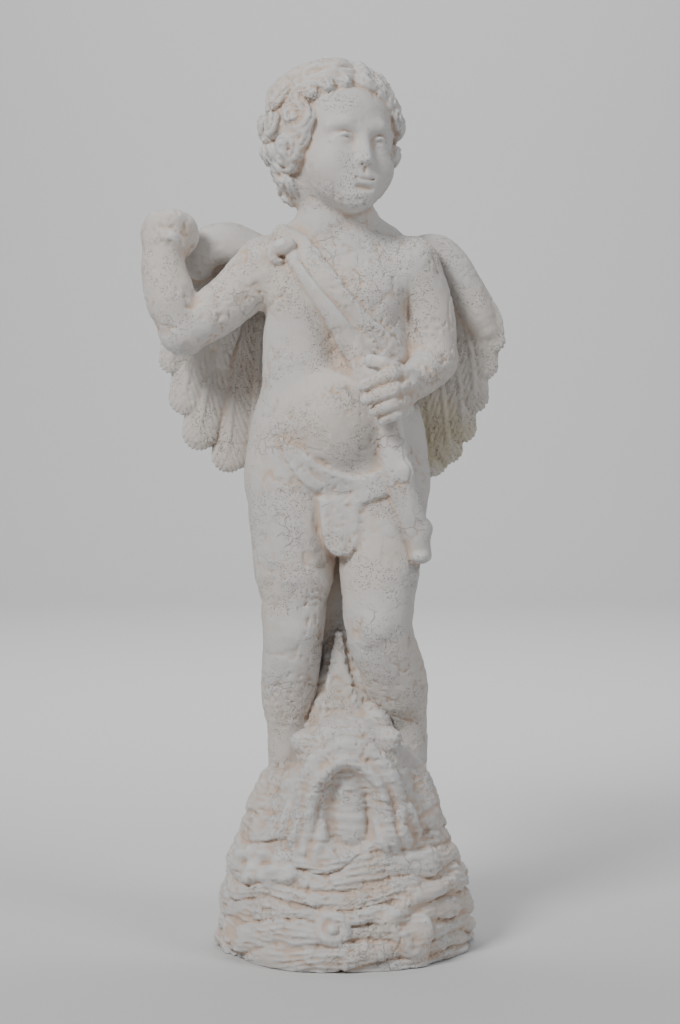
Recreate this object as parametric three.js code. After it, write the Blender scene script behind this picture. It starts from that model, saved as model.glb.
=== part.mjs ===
// A cast-stone garden statue of a winged cupid with a bow, standing on a wave-worn rock behind a fish's
// open mouth. Millimetres, +Z up, the viewer at -Y; right and left are the figure's own. The origin is
// the centre of the flat underside. The statue is one casting, so it is one closed solid: soft forms are
// added to and carved from a block of distances, and one skin is drawn over the result.
import * as THREE from "three";
import { mergeVertices } from "three/addons/utils/BufferGeometryUtils.js";
import { triTable } from "three/addons/objects/MarchingCubes.js";

// Driving dimensions
const figureHeight = 705; // from the rock's top to the crown of the hair
const rockHeight = 185;
const rockWidth = 264;
const rockDepth = 236;
const rockLayers = 9; // ledges of the rock, one above the other
const bandWidth = 23; // the cloth band round the hips
const bandThickness = 5;
const strapWidth = 25; // the strap across the chest
const strapThickness = 4;
const wingThickness = 14; // a feather at its thickest
const featherRibWidth = 3; // half the width of a feather's raised shaft
const bowThickness = 28; // the bow's limb at the grip
const skinTriangles = 9600;
const grain = 3.2; // side of one cell of the block of distances

const modelledHeight = 705; // the figure's points below are written for this height
const figureScale = figureHeight / modelledHeight;

// A signed distance is below zero inside the stone. smoothMin joins two of them with a fillet.
function smoothMin(a, b, blend) {
  if (blend <= 0) return Math.min(a, b);
  const h = Math.max(blend - Math.abs(a - b), 0) / blend;
  return Math.min(a, b) - (h * h * blend) / 4;
}

const smoothMax = (a, b, blend) => -smoothMin(-a, -b, blend);

const FAR = 60; // the distance of a grid point that no shape has reached

class Clay {
  constructor(lowest, highest, cell) {
    this.cell = cell;
    this.low = lowest.map((v) => Math.floor(v / cell) * cell + cell * 0.37);
    this.count = highest.map((v, k) => Math.ceil((v - this.low[k]) / cell) + 1);
    this.distances = new Float32Array(this.count[0] * this.count[1] * this.count[2]).fill(FAR);
    this.scratch = this.distances.slice();
  }

  // The grid points of a box, grown by a reach: the first and last index on each axis.
  range(low, high, reach) {
    return low.map((v, k) => [
      Math.max(0, Math.ceil((v - reach - this.low[k]) / this.cell)),
      Math.min(this.count[k] - 1, Math.floor((high[k] + reach - this.low[k]) / this.cell)),
    ]);
  }

  // Calls change(index, x, y, z) for each grid point of a range.
  visit([spanX, spanY, spanZ], change) {
    for (let k = spanZ[0]; k <= spanZ[1]; k++)
      for (let j = spanY[0]; j <= spanY[1]; j++)
        for (let i = spanX[0]; i <= spanX[1]; i++)
          change(
            (k * this.count[1] + j) * this.count[0] + i,
            this.low[0] + i * this.cell,
            this.low[1] + j * this.cell,
            this.low[2] + k * this.cell,
          );
  }

  // Joins a group of shapes sharply to one another, then hands the whole to merge(old, group).
  apply(group, reach, merge) {
    const shapes = [group].flat(3);
    const touched = [];
    for (const shape of shapes)
      this.visit(this.range(shape.low, shape.high, reach + 2 * this.cell), (at, x, y, z) => {
        const d = shape.distance(x, y, z);
        if (this.scratch[at] === FAR) touched.push(at);
        if (d < this.scratch[at]) this.scratch[at] = d;
      });
    for (const at of touched) {
      this.distances[at] = merge(this.distances[at], this.scratch[at]);
      this.scratch[at] = FAR;
    }
  }

  add(group, blend = 0) {
    this.apply(group, blend, (old, d) => smoothMin(old, d, blend));
  }

  carve(group, blend = 0) {
    this.apply(group, blend, (old, d) => -smoothMin(-old, d, blend));
  }

  // A strip of cloth of one thickness, with soft edges, that hugs what is modelled so far.
  wrap(shape, thickness, soft) {
    this.apply(shape, soft, (old, d) => smoothMin(old, smoothMax(old - thickness, d, soft), soft));
  }

  // The distance at any place, between the eight grid points round it.
  at(x, y, z) {
    const within = (v, k) => Math.min(this.count[k] - 1.001, Math.max(0, (v - this.low[k]) / this.cell));
    const place = [x, y, z].map(within);
    const [i, j, k] = place.map(Math.floor);
    const [u, v, w] = place.map((n) => n - Math.floor(n));
    let sum = 0;
    for (let corner = 0; corner < 8; corner++) {
      const [a, b, c] = [corner & 1, (corner >> 1) & 1, corner >> 2];
      const share = (a ? u : 1 - u) * (b ? v : 1 - v) * (c ? w : 1 - w);
      sum += share * this.distances[((k + c) * this.count[1] + j + b) * this.count[0] + i + a];
    }
    return sum;
  }

  // The y where a line along Y first meets the stone, from the viewer's side or, with side 1, from behind.
  surface(x, z, side = -1) {
    const far = this.low[1] + (side > 0 ? (this.count[1] - 1) * this.cell : 0);
    let before = this.at(x, far, z);
    for (let n = 1; n < this.count[1]; n++) {
      const y = far - side * n * this.cell;
      const here = this.at(x, y, z);
      if (here < 0) return y + (side * this.cell * -here) / (before - here);
      before = here;
    }
    return 0;
  }

  // Marching cubes: one triangle skin where the distance is zero, with shared vertices.
  skin() {
    const [nx, ny, nz] = this.count;
    const field = this.distances;
    const step = [1, nx, nx * ny];
    const corners = [
      [0, 0, 0], [1, 0, 0], [1, 1, 0], [0, 1, 0], [0, 0, 1], [1, 0, 1], [1, 1, 1], [0, 1, 1],
    ];
    const edges = [
      [0, 0], [1, 1], [3, 0], [0, 1], [4, 0], [5, 1], [7, 0], [4, 1], [0, 2], [1, 2], [2, 2], [3, 2],
    ];
    const offsets = corners.map(([a, b, c]) => a * step[0] + b * step[1] + c * step[2]);
    const vertexOf = new Int32Array(field.length * 3).fill(-1);
    const points = [];
    const faces = [];
    for (let k = 0; k < nz - 1; k++)
      for (let j = 0; j < ny - 1; j++)
        for (let i = 0; i < nx - 1; i++) {
          const at = (k * ny + j) * nx + i;
          let kind = 0;
          for (let c = 0; c < 8; c++) if (field[at + offsets[c]] < 0) kind |= 1 << c;
          if (kind === 0 || kind === 255) continue;
          const first = kind * 16;
          let last = first;
          while (triTable[last] !== -1) last++;
          for (let t = last - 1; t >= first; t--) {
            const [corner, axis] = edges[triTable[t]];
            const start = at + offsets[corner];
            const key = start * 3 + axis;
            if (vertexOf[key] < 0) {
              vertexOf[key] = points.length / 3;
              const a = field[start];
              const b = field[start + step[axis]];
              const share = Math.min(0.94, Math.max(0.06, a / (a - b)));
              const place = [i, j, k].map((n, m) => n + corners[corner][m] + (m === axis ? share : 0));
              points.push(...place.map((n, m) => this.low[m] + n * this.cell));
            }
            faces.push(vertexOf[key]);
          }
        }
    return { points: Float64Array.from(points), faces: Int32Array.from(faces) };
  }
}

// Simplifies a closed skin by collapsing edges. Each corner sums the planes of the faces round it in a
// quadric, which says how far a place is from all of them. A pass collapses the cheapest edges that share
// no face, so the forms stay while flat stretches lose their triangles.
function simplify({ points, faces }, wanted, careAt) {
  const count = points.length / 3;
  const quadrics = new Float64Array(count * 10);
  const normalOf = (a, b, c) => {
    const [ux, uy, uz] = [b[0] - a[0], b[1] - a[1], b[2] - a[2]];
    const [vx, vy, vz] = [c[0] - a[0], c[1] - a[1], c[2] - a[2]];
    return [uy * vz - uz * vy, uz * vx - ux * vz, ux * vy - uy * vx];
  };
  const place = (v) => points.subarray(v * 3, v * 3 + 3);
  for (let f = 0; f < faces.length; f += 3) {
    const corner = place(faces[f]);
    const normal = normalOf(corner, place(faces[f + 1]), place(faces[f + 2]));
    const area = Math.hypot(...normal) || 1;
    const [a, b, c] = normal.map((n) => n / area);
    const d = -(a * corner[0] + b * corner[1] + c * corner[2]);
    const weight = area * careAt(corner);
    const terms = [a * a, a * b, a * c, a * d, b * b, b * c, b * d, c * c, c * d, d * d];
    for (let k = 0; k < 3; k++)
      for (let n = 0; n < 10; n++) quadrics[faces[f + k] * 10 + n] += terms[n] * weight;
  }
  const q = new Float64Array(10);
  const spot = new Float64Array(3);
  // Puts the best place for v and w in spot, and returns how far it is from the planes round both.
  const meet = (v, w) => {
    for (let n = 0; n < 10; n++) q[n] = quadrics[v * 10 + n] + quadrics[w * 10 + n];
    const cross = [q[4] * q[7] - q[5] * q[5], q[2] * q[5] - q[1] * q[7], q[1] * q[5] - q[2] * q[4]];
    const size = q[0] * cross[0] + q[1] * cross[1] + q[2] * cross[2];
    const [p, r] = [v * 3, w * 3];
    let short = 0;
    for (let k = 0; k < 3; k++) {
      short += (points[p + k] - points[r + k]) ** 2;
      spot[k] = (points[p + k] + points[r + k]) / 2;
    }
    if (Math.abs(size) > 1e-6 * (q[0] + q[4] + q[7]) ** 3) {
      const x = -(q[3] * cross[0] + q[6] * cross[1] + q[8] * cross[2]) / size;
      const corner = q[1] * q[2] - q[0] * q[5];
      const y = -(q[3] * cross[1] + q[6] * (q[0] * q[7] - q[2] * q[2]) + q[8] * corner) / size;
      const z = -(q[3] * cross[2] + q[6] * corner + q[8] * (q[0] * q[4] - q[1] * q[1])) / size;
      if ((x - spot[0]) ** 2 + (y - spot[1]) ** 2 + (z - spot[2]) ** 2 < short) spot.set([x, y, z]);
    }
    const [x, y, z] = spot;
    const off =
      q[0] * x * x + q[4] * y * y + q[7] * z * z + q[9] +
      2 * (q[1] * x * y + q[2] * x * z + q[3] * x + q[5] * y * z + q[6] * y + q[8] * z);
    return Math.max(0, off) + 1e-3 * short;
  };
  let left = faces.length / 3;
  const firstFace = new Int32Array(count + 1);
  const mark = new Int32Array(count);
  let stamp = 0;
  while (left > wanted) {
    // The faces round each corner, as one list with a start for each corner.
    firstFace.fill(0);
    for (const v of faces) firstFace[v + 1]++;
    for (let v = 0; v < count; v++) firstFace[v + 1] += firstFace[v];
    const next = firstFace.slice();
    const around = new Int32Array(faces.length);
    faces.forEach((v, n) => (around[next[v]++] = (n / 3) | 0));
    const edges = [];
    const costs = [];
    for (let n = 0; n < faces.length; n++) {
      const [v, w] = [faces[n], faces[n % 3 === 2 ? n - 2 : n + 1]];
      if (v > w) continue;
      edges.push(v, w);
      costs.push(meet(v, w));
    }
    const limit = Float64Array.from(costs).sort()[Math.floor(costs.length * 0.22)];
    const busy = new Uint8Array(count);
    const merged = new Int32Array(count).map((_, v) => v);
    // How many corners next to w are also next to v: two, where the collapse leaves the skin closed.
    const shared = (v, w) => {
      stamp += 2;
      for (let n = firstFace[v]; n < firstFace[v + 1]; n++)
        for (let k = 0; k < 3; k++) mark[faces[around[n] * 3 + k]] = stamp;
      let both = 0;
      for (let n = firstFace[w]; n < firstFace[w + 1]; n++)
        for (let k = 0; k < 3; k++) {
          const c = faces[around[n] * 3 + k];
          if (mark[c] === stamp && c !== v && c !== w) {
            mark[c]++;
            both++;
          }
        }
      return both;
    };
    // True if moving v to the spot turns a face over or makes it a sliver.
    const folds = (v, w) => {
      for (let n = firstFace[v]; n < firstFace[v + 1]; n++) {
        const f = around[n] * 3;
        const corners = [faces[f], faces[f + 1], faces[f + 2]];
        if (corners.includes(w)) continue;
        const before = normalOf(...corners.map(place));
        const moved = corners.map((c) => (c === v ? spot : place(c)));
        const after = normalOf(...moved);
        const size = Math.hypot(...after);
        const dot = before[0] * after[0] + before[1] * after[1] + before[2] * after[2];
        let longest = 0;
        for (let k = 0; k < 3; k++) {
          const [a, b] = [moved[k], moved[(k + 1) % 3]];
          longest = Math.max(longest, (a[0] - b[0]) ** 2 + (a[1] - b[1]) ** 2 + (a[2] - b[2]) ** 2);
        }
        if (dot < 0.25 * size * Math.hypot(...before) || size < 0.06 * longest) return true;
      }
      return false;
    };
    const before = left;
    for (let e = 0; e < costs.length && left > wanted; e++) {
      if (costs[e] > limit) continue;
      const [v, w] = [edges[e * 2], edges[e * 2 + 1]];
      if (busy[v] || busy[w] || shared(v, w) !== 2) continue;
      meet(v, w);
      if (folds(v, w) || folds(w, v)) continue;
      for (const c of [v, w])
        for (let n = firstFace[c]; n < firstFace[c + 1]; n++)
          for (let k = 0; k < 3; k++) busy[faces[around[n] * 3 + k]] = 1;
      points.set(spot, v * 3);
      for (let n = 0; n < 10; n++) quadrics[v * 10 + n] = q[n];
      merged[w] = v;
      left -= 2;
    }
    if (left === before) break;
    const kept = [];
    for (let f = 0; f < faces.length; f += 3) {
      const [a, b, c] = [merged[faces[f]], merged[faces[f + 1]], merged[faces[f + 2]]];
      if (a !== b && b !== c && c !== a) kept.push(a, b, c);
    }
    faces = Int32Array.from(kept);
  }
  return { points, faces: [...faces] };
}

// Shapes: each has a box, low to high, and a signed distance.
const turnOf = (degrees) =>
  new THREE.Matrix4().makeRotationFromEuler(new THREE.Euler(...degrees.map(THREE.MathUtils.degToRad), "ZYX"));

// An ellipsoid, turned by degrees about X, then Y, then Z.
function ball(centre, radii, turn = [0, 0, 0]) {
  const m = turnOf(turn).elements;
  const reach = Math.max(...radii);
  const [rx, ry, rz] = radii;
  return {
    low: centre.map((v) => v - reach),
    high: centre.map((v) => v + reach),
    distance(x, y, z) {
      const [dx, dy, dz] = [x - centre[0], y - centre[1], z - centre[2]];
      const a = (m[0] * dx + m[1] * dy + m[2] * dz) / rx;
      const b = (m[4] * dx + m[5] * dy + m[6] * dz) / ry;
      const c = (m[8] * dx + m[9] * dy + m[10] * dz) / rz;
      const share = Math.sqrt(a * a + b * b + c * c);
      const slope = Math.sqrt((a / rx) ** 2 + (b / ry) ** 2 + (c / rz) ** 2);
      return slope > 1e-9 ? (share * (share - 1)) / slope : -Math.min(rx, ry, rz);
    },
  };
}

// A round cone from a to b; flat is the share of its thickness that is left along the normal.
function cone(a, b, ra, rb, normal = null, flat = 1) {
  const axis = b.map((v, k) => v - a[k]);
  const reach = Math.max(ra, rb) * Math.max(1, flat);
  const squash = normal ? new THREE.Vector3(...normal).normalize().toArray() : null;
  const grow = 1 / flat - 1;
  const flatten = (p) => {
    if (!squash) return p;
    const along = (p[0] * squash[0] + p[1] * squash[1] + p[2] * squash[2]) * grow;
    return [p[0] + along * squash[0], p[1] + along * squash[1], p[2] + along * squash[2]];
  };
  const slope = squash ? (1 + Math.min(1, flat)) / 2 : 1;
  const line = flatten(axis);
  const length2 = line[0] ** 2 + line[1] ** 2 + line[2] ** 2;
  return {
    low: a.map((v, k) => Math.min(v, b[k]) - reach),
    high: a.map((v, k) => Math.max(v, b[k]) + reach),
    distance(x, y, z) {
      const p = flatten([x - a[0], y - a[1], z - a[2]]);
      const t = Math.min(1, Math.max(0, (p[0] * line[0] + p[1] * line[1] + p[2] * line[2]) / length2));
      const off = Math.hypot(p[0] - t * line[0], p[1] - t * line[1], p[2] - t * line[2]);
      return (off - (ra + (rb - ra) * t)) * slope;
    },
  };
}

// A limb: round cones along a smooth curve through the points, each point [x, y, z, radius].
function limb(points, { steps = 4, normal = null, flat = 1 } = {}) {
  const knots = points.map(([x, y, z]) => new THREE.Vector3(x, y, z));
  const curve = new THREE.CatmullRomCurve3(knots, false, "centripetal");
  const spans = points.length - 1;
  const stations = Array.from({ length: spans * steps + 1 }, (_, n) => {
    const t = n / (spans * steps);
    const span = Math.min(spans - 1, Math.floor(t * spans));
    const share = t * spans - span;
    const ease = share * share * (3 - 2 * share);
    const radius = points[span][3] * (1 - ease) + points[span + 1][3] * ease;
    return { at: curve.getPoint(t).toArray(), radius };
  });
  return stations.slice(1).map((end, n) => {
    const start = stations[n];
    return cone(start.at, end.at, start.radius, end.radius, normal, flat);
  });
}

// A point of the figure, from its modelled place above the rock's top. Radii after it scale too.
const onFigure = ([x, y, z, ...radii]) => [
  x * figureScale, y * figureScale, rockHeight + z * figureScale, ...radii.map((r) => r * figureScale),
];
const lump = (centre, radii, turn) => ball(onFigure(centre), radii.map((r) => r * figureScale), turn);
const reach = (points, options) => limb(points.map(onFigure), options);

// Points laid on the front of what is modelled so far, or on its back with side 1. Their y is the depth
// below that surface, so a negative one stands proud of it at the front.
const laid = (clay, points, side = -1) =>
  points.map(onFigure).map(([x, y, z, radius]) => [x, clay.surface(x, z, side) + y, z, radius]);

function torso(clay) {
  clay.add(lump([-10, 10, 470], [69, 44, 62]), 0);
  clay.add(reach([[-76, 8, 498, 25], [-8, 12, 510, 33], [64, 8, 498, 25]]), 20);
  clay.add(reach([[-8, 14, 542, 28], [-48, 12, 520, 18]]), 16);
  clay.add(reach([[-8, 14, 542, 28], [38, 12, 520, 18]]), 16);
  for (const side of [-1, 1]) {
    clay.add(lump([-8, -20, 466].map((v, k) => (k ? v : v + side * 32)), [31, 15, 25]), 22);
    clay.add(lump([-8, 32, 475].map((v, k) => (k ? v : v + side * 34)), [30, 22, 38]), 16);
  }
  clay.add(reach([[-40, 8, 423, 41], [-43, 6, 371, 40], [-51, 4, 325, 44], [-54, 2, 295, 45]]), 16);
  clay.add(reach([[26, 8, 423, 41], [30, 6, 371, 40], [38, 4, 325, 44], [40, 2, 291, 45]]), 16);
  clay.add(lump([-3, -14, 339], [58, 54, 54]), 16);
  clay.add(lump([-6, 8, 283], [80, 50, 42]), 22);
}

function legs(clay) {
  clay.add(reach([
    [-51, 0, 273, 46], [-50, -6, 203, 41], [-50, -8, 159, 33], [-51, -10, 124, 30], [-55, 2, 73, 28.5],
    [-56, 6, 24, 21], [-56, 6, -38, 20],
  ]), 10);
  clay.add(reach([
    [38, -2, 271, 46], [36, -18, 204, 40], [34, -28, 166, 36], [35, -34, 135, 33], [51, -12, 85, 32],
    [60, 6, 40, 24], [62, 12, -39, 21],
  ]), 10);
  clay.add(lump([-41, 36, 273], [44, 38, 42]), 14);
  clay.add(lump([33, 36, 273], [44, 38, 42]), 14);
  clay.add(lump([-49, -29, 134], [17, 14, 18]), 5);
  clay.add(lump([31, -57, 141], [19, 15, 20]), 5);
  clay.add(lump([-54, 20, 70], [24, 22, 38]), 8);
  clay.add(lump([54, 10, 76], [26, 22, 36]), 8);
  clay.add(reach([
    [-8, 24, 221, 22], [-10, 24, 140, 24], [-6, 26, 59, 30], [-2, 26, -22, 34],
  ], { normal: [0, 1, 0], flat: 0.6 }), 8);
}

const deep = { normal: [0, 1, 0], flat: 3 }; // a ribbon's shape reaches through the hollows that it crosses

function cloths(clay) {
  const half = strapWidth / 2;
  const strap = [
    [-64, 0, 532, half*0.55], [-43, 0, 518, half*0.62], [-18, 0, 486, half*0.68],
    [8, 0, 450, half*0.75], [47, 0, 410, half],
  ];
  clay.wrap(limb(laid(clay, strap), deep), strapThickness, 2);
  const edge = bandWidth / 2;
  const band = [
    [-62, 0, 323, edge*0.2], [-46, 0, 305, edge*0.9], [-30, 0, 290, edge*1.1], [-10, 0, 280, edge*1.15],
    [13, 0, 275, edge*1.15], [35, 0, 281, edge*1.1], [52, 0, 291, edge],
  ];
  clay.wrap(limb(laid(clay, band), deep), bandThickness, 4);
  drape(clay);
}

// A fold of cloth below the band: its outline narrows to a rounded hem, and its front is pleated.
function drape(clay) {
  const [x0, front, top] = onFigure([-3, -50, 268]);
  const drop = 58 * figureScale;
  const pleat = (2 * Math.PI) / (14 * figureScale);
  clay.add({
    low: [x0 - 28 * figureScale, front - 13 * figureScale, top - drop - 6],
    high: [x0 + 28 * figureScale, front + 37 * figureScale, top + 6],
    distance(x, y, z) {
      const down = Math.min(1, Math.max(0, (top - z) / drop));
      const aside = x - x0;
      const wave = Math.cos(aside * pleat);
      const hem = top - drop + (0.035 * aside * aside) / figureScale + 0.5 * wave;
      const outline = smoothMax(Math.abs(aside) - (22 - 5 * down) * figureScale, hem - z, 9);
      const face = front - 2 * down - 0.7 * (0.4 + 0.6 * down) * wave;
      return smoothMax(smoothMax(outline, z - top, 3), face - y, 6);
    },
  }, 5);
}

function rightArm(clay) {
  clay.add(reach([[-80, 4, 495, 29], [-120, -2, 457, 26], [-159, -8, 430, 23]]), 12);
  clay.add(reach([
    [-160, -8, 432, 23], [-172, -12, 464, 25], [-179, -10, 500, 22], [-177, -4, 525, 22],
  ]), 6);
  clay.add(lump([-175, -4, 527], [26, 25, 23]), 8);
  clay.add(reach([[-185, -16, 538, 10], [-170, -18, 540, 11], [-159, -10, 538, 10]]), 6);
  clay.add(reach([[-167, -18, 539, 7], [-153, -9, 535, 7], [-152, 0, 522, 7.5], [-160, 4, 511, 8]]), 4);
  clay.add(reach([[-182, -24, 521, 6], [-170, -28, 523, 6.5], [-161, -22, 517, 6]]), 5);
}

function leftArm(clay) {
  clay.add(reach([[68, 4, 497, 27], [85, 8, 453, 25], [90, 4, 407, 23]]), 12);
  clay.add(reach([[90, 0, 401, 23], [77, -28, 387, 20], [62, -58, 377, 16]]), 6);
}

function bow(clay) {
  const grip = bowThickness / 2;
  const upper = [
    [-55, -2, 510, grip*0.5], [-39, -2, 486, grip*0.58], [-16, -1, 455, grip*0.75],
    [10, 0, 413, grip*0.98], [33, 0, 367, grip*1.1], [46, 0, 324, grip*1.05],
  ];
  const lower = [[54, -52, 291], [63, -49, 260], [72, -43, 232], [75, -40, 216]];
  const taper = [1.05, 0.95, 0.85, 0.75];
  const tail = lower.map((place, n) => onFigure([...place, grip * taper[n]]));
  clay.add(limb([...laid(clay, upper), ...tail]), 4);
  const horn = [
    [-53, -3, 516, 6], [-60, -4, 513, 8], [-68, -4, 509, 7], [-68, -3, 501, 5], [-63, -2, 499, 4],
  ];
  clay.add(limb(laid(clay, horn)), 2);
  clay.add(lump([75, -38, 210], [11, 17, 8]), 3);
  clay.add(lump([58, -60, 291], [10, 10, 13]), 5);
  clay.add(lump([78, -42, 236], [9, 12, 11]), 4);
  const furrow = [[-43, 0, 501, 1.6], [-23, 0, 475, 2], [3, 0, 445, 2.2], [37, 0, 411, 1.8]];
  clay.carve(limb(laid(clay, furrow)), 3);
}

function hand(clay) {
  clay.add(lump([54, -66, 375], [19, 16, 21]), 8);
  const fingers = [
    [[60, -70, 388, 7.5], [42, -88, 386, 7.5], [19, -86, 376, 6.5]],
    [[64, -72, 377, 7.5], [45, -90, 372, 7.5], [22, -86, 364, 6.5]],
    [[63, -72, 366, 7], [47, -88, 360, 7], [29, -84, 352, 6]],
    [[61, -70, 355, 6.5], [49, -84, 350, 6.5], [36, -80, 344, 5.5]],
  ];
  for (const finger of fingers) clay.add(reach(finger), 1);
  clay.add(reach([[54, -68, 388, 9], [40, -78, 396, 8.5], [26, -76, 400, 7]]), 2);
}

// The head's own places: x to its left, y back and z up from its centre, turned and tilted with it.
const headCentre = [-7, 2, 619];
const headTurn = [-4, 4, 28];
const headMatrix = turnOf(headTurn);
const inHead = ([x, y, z, ...radii]) => {
  const turned = new THREE.Vector3(x, y, z).applyMatrix4(headMatrix);
  return [headCentre[0] + turned.x, headCentre[1] + turned.y, headCentre[2] + turned.z, ...radii];
};
const headLump = (centre, radii) => lump(inHead(centre), radii, headTurn);
const headReach = (points, options) => reach(points.map(inHead), options);

function head(clay) {
  clay.add(reach([[-7, 14, 526, 37], [-7, 8, 556, 33], [-6, 6, 594, 33]]), 14);
  clay.add([headLump([0, 10, 10], [57, 60, 54]), headLump([0, -18, 16], [46, 39, 36])], 8);
  clay.add(headLump([0, -18, -24], [43, 41, 43]), 14);
  for (const side of [-1, 1]) clay.add(headLump([side * 21, -33, -35], [20, 19, 20]), 12);
  clay.add(headLump([0, -32, -50], [31, 25, 20]), 12);
  clay.add(headLump([0, -43, -60], [18, 16, 14]), 12);
  clay.add(headLump([-2, 22, -38], [47, 36, 30]), 10);
}

function face(clay) {
  for (const side of [-1, 1]) {
    clay.carve(headLump([side * 20, -63.5, -9], [15, 12, 8]), 10);
    clay.add(headLump([side * 20, -44, -11], [13, 12, 9]), 3);
    clay.add(headReach([
      [side * 9, -52.5, 4, 2.6], [side * 19, -53.5, 7.5, 3], [side * 31, -46, 4, 2.6],
    ]), 12);
    clay.add(headLump([side * 22, -38, -31], [16, 14, 15]), 12);
  }
  clay.add(headReach([[0, -54, -1, 4.4], [0, -57.6, -13, 4.2], [0, -61, -24, 5.2], [0, -62, -28, 5.6]]), 8);
  for (const side of [-1, 1]) clay.add(headLump([side * 6.4, -57, -30], [4.4, 5.2, 4.2]), 4);
  clay.add(headLump([0, -48.5, -45], [17, 9, 13]), 10);
  clay.add(headReach([
    [-12, -54, -46, 1.8], [-4, -57.8, -44.4, 2.9], [4, -57.8, -44.4, 2.9], [12, -54, -46, 1.8],
  ]), 2.5);
  clay.add(headReach([[-9, -54.8, -49.4, 2.2], [0, -57.2, -51, 3.6], [9, -54.8, -49.4, 2.2]]), 2.5);
  clay.carve(headReach([[-14, -56.4, -46.6, 1.2], [0, -61.4, -47.8, 1.4], [14, -56.4, -46.6, 1.2]]), 1.5);
  clay.carve(headLump([0, -59, -56.5], [10, 4, 3]), 5);
  clay.add(headLump([0, -46, -64], [13, 12, 9]), 9);
}

// A place on the hair's cap, from degrees round it from the face, to the left, and degrees up.
const capMiddle = new THREE.Vector3(0, 12, 9);
function onSkull(around, up, lift = 1) {
  const [a, b] = [around, up].map(THREE.MathUtils.degToRad);
  const x = 61 * Math.sin(a) * Math.cos(b);
  const y = -62 * Math.cos(a) * Math.cos(b);
  return new THREE.Vector3(x, y, 60 * Math.sin(b)).multiplyScalar(lift).add(capMiddle);
}

// A lock of hair: a tapering roll that sweeps over the skull in a wave and lifts at its tip.
function lock(around, up, turn, fall, width, wave = 6, curl = 0.08) {
  const stations = 10;
  const points = Array.from({ length: stations + 1 }, (_, n) => {
    const share = n / stations;
    const across = around + turn * share + wave * Math.sin(2 * Math.PI * share);
    const place = onSkull(across, up - fall * share, 1 + curl * share * share);
    return [...place.toArray(), width * (0.45 + 0.6 * Math.sin(Math.PI * (share * 0.82 + 0.06)))];
  });
  return headReach(points, { steps: 1 });
}

// A curl: a spiral that lies on the skull, tighter and thinner towards its middle, where it stands highest.
function curlOn(around, up, size, spin, turns = 0.95, proud = 1.06) {
  const stations = 11;
  const centre = onSkull(around, up, proud);
  const out = centre.clone().sub(capMiddle).normalize();
  const east = new THREE.Vector3(0, 0, 1).cross(out).normalize();
  const north = out.clone().cross(east);
  const points = Array.from({ length: stations + 1 }, (_, n) => {
    const share = n / stations;
    const angle = spin * (2 * Math.PI * turns * share + around / 17);
    const arm = size * (0.85 - 0.72 * share);
    const place = centre.clone()
      .addScaledVector(east, 1.12 * arm * Math.cos(angle))
      .addScaledVector(north, arm * Math.sin(angle))
      .addScaledVector(out, size * 0.3 * share - 2);
    return [...place.toArray(), size * (0.6 - 0.14 * share) * (1 - 0.35 * (1 - share) ** 4)];
  });
  return headReach(points, { steps: 1 });
}

function hair(clay) {
  const cap = headLump([0, 13, 10], [62, 64, 61]);
  const centre = onFigure(headCentre);
  const facing = new THREE.Vector3(0, -0.9, -0.43).applyMatrix4(headMatrix);
  const hairline = 20 * figureScale;
  clay.add({
    ...cap,
    distance: (x, y, z) =>
      Math.max(
        cap.distance(x, y, z),
        facing.x * (x - centre[0]) + facing.y * (y - centre[1]) + facing.z * (z - centre[2]) - hairline,
      ),
  }, 4);
  const rows = [
    { count: 8, up: -38, size: 12, from: 84, to: 276 },
    { count: 9, up: -17, size: 14.5, from: 64, to: 296 },
    { count: 9, up: 8, size: 15.5, from: 52, to: 308 },
    { count: 9, up: 32, size: 15, from: 50, to: 310 },
    { count: 6, up: 55, size: 14, from: 90, to: 270 },
  ];
  for (const row of rows)
    for (let n = 0; n < row.count; n++) {
      const share = (n + 0.5 + 0.18 * Math.sin(7 * n + row.up)) / row.count;
      const around = row.from + (row.to - row.from) * share;
      const up = row.up + 5 * Math.sin(5 * n + row.up);
      const size = row.size * (1 + 0.16 * Math.sin(3 * n + row.up));
      clay.add(curlOn(around, up, size, around > 180 ? 1 : -1), 2);
    }
  // Loose curls behind the ears: degrees round and up, size, and how far out they stand.
  const loose = [
    [280, -30, 14, 1.08], [264, -50, 14, 1.16], [248, -44, 15, 1.1], [238, -58, 13, 1.25],
    [298, -12, 13, 1.05], [86, -44, 13, 1.12], [104, -52, 13, 1.2],
  ];
  for (const [around, up, size, proud] of loose)
    clay.add(curlOn(around, up, size, around > 180 ? 1 : -1, 0.95, proud), 3);
  const swept = [
    [-10, 84, -14, 38], [-34, 78, -22, 36], [-62, 70, -22, 36], [-86, 58, -14, 34],
    [20, 82, 12, 36], [48, 74, 18, 38], [76, 62, 14, 36], [150, 78, 20, 30], [-150, 78, -20, 30],
  ];
  for (const [around, up, turn, fall] of swept) clay.add(lock(around, up, turn, fall, 15, 6, 0.06), 2);
  const fringe = [
    [-6, 62, -10, 24, 11], [-22, 58, -12, 26, 12], [-38, 52, -10, 28, 12], [-52, 42, -6, 26, 11],
    [10, 60, 8, 22, 11], [26, 56, 12, 25, 12], [42, 48, 8, 26, 12], [54, 36, 2, 26, 11],
  ];
  for (const [around, up, turn, fall, width] of fringe) {
    clay.add(lock(around, up, turn, fall, width), 2);
    clay.add(curlOn(around + turn, up - fall, 8, around > 0 ? -1 : 1, 0.9, 1.02), 2);
  }
}

// A feather: a flat blade along a curve, with its shaft raised on both faces.
function feather(points, lean) {
  const normal = [lean, 1, 0.06];
  return [
    reach(points, { normal, flat: wingThickness / 36 }),
    reach(points.map(([x, y, z, r]) => [x, y, z, r * 0.2 + featherRibWidth]), { normal, flat: 1.2 }),
  ];
}

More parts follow.
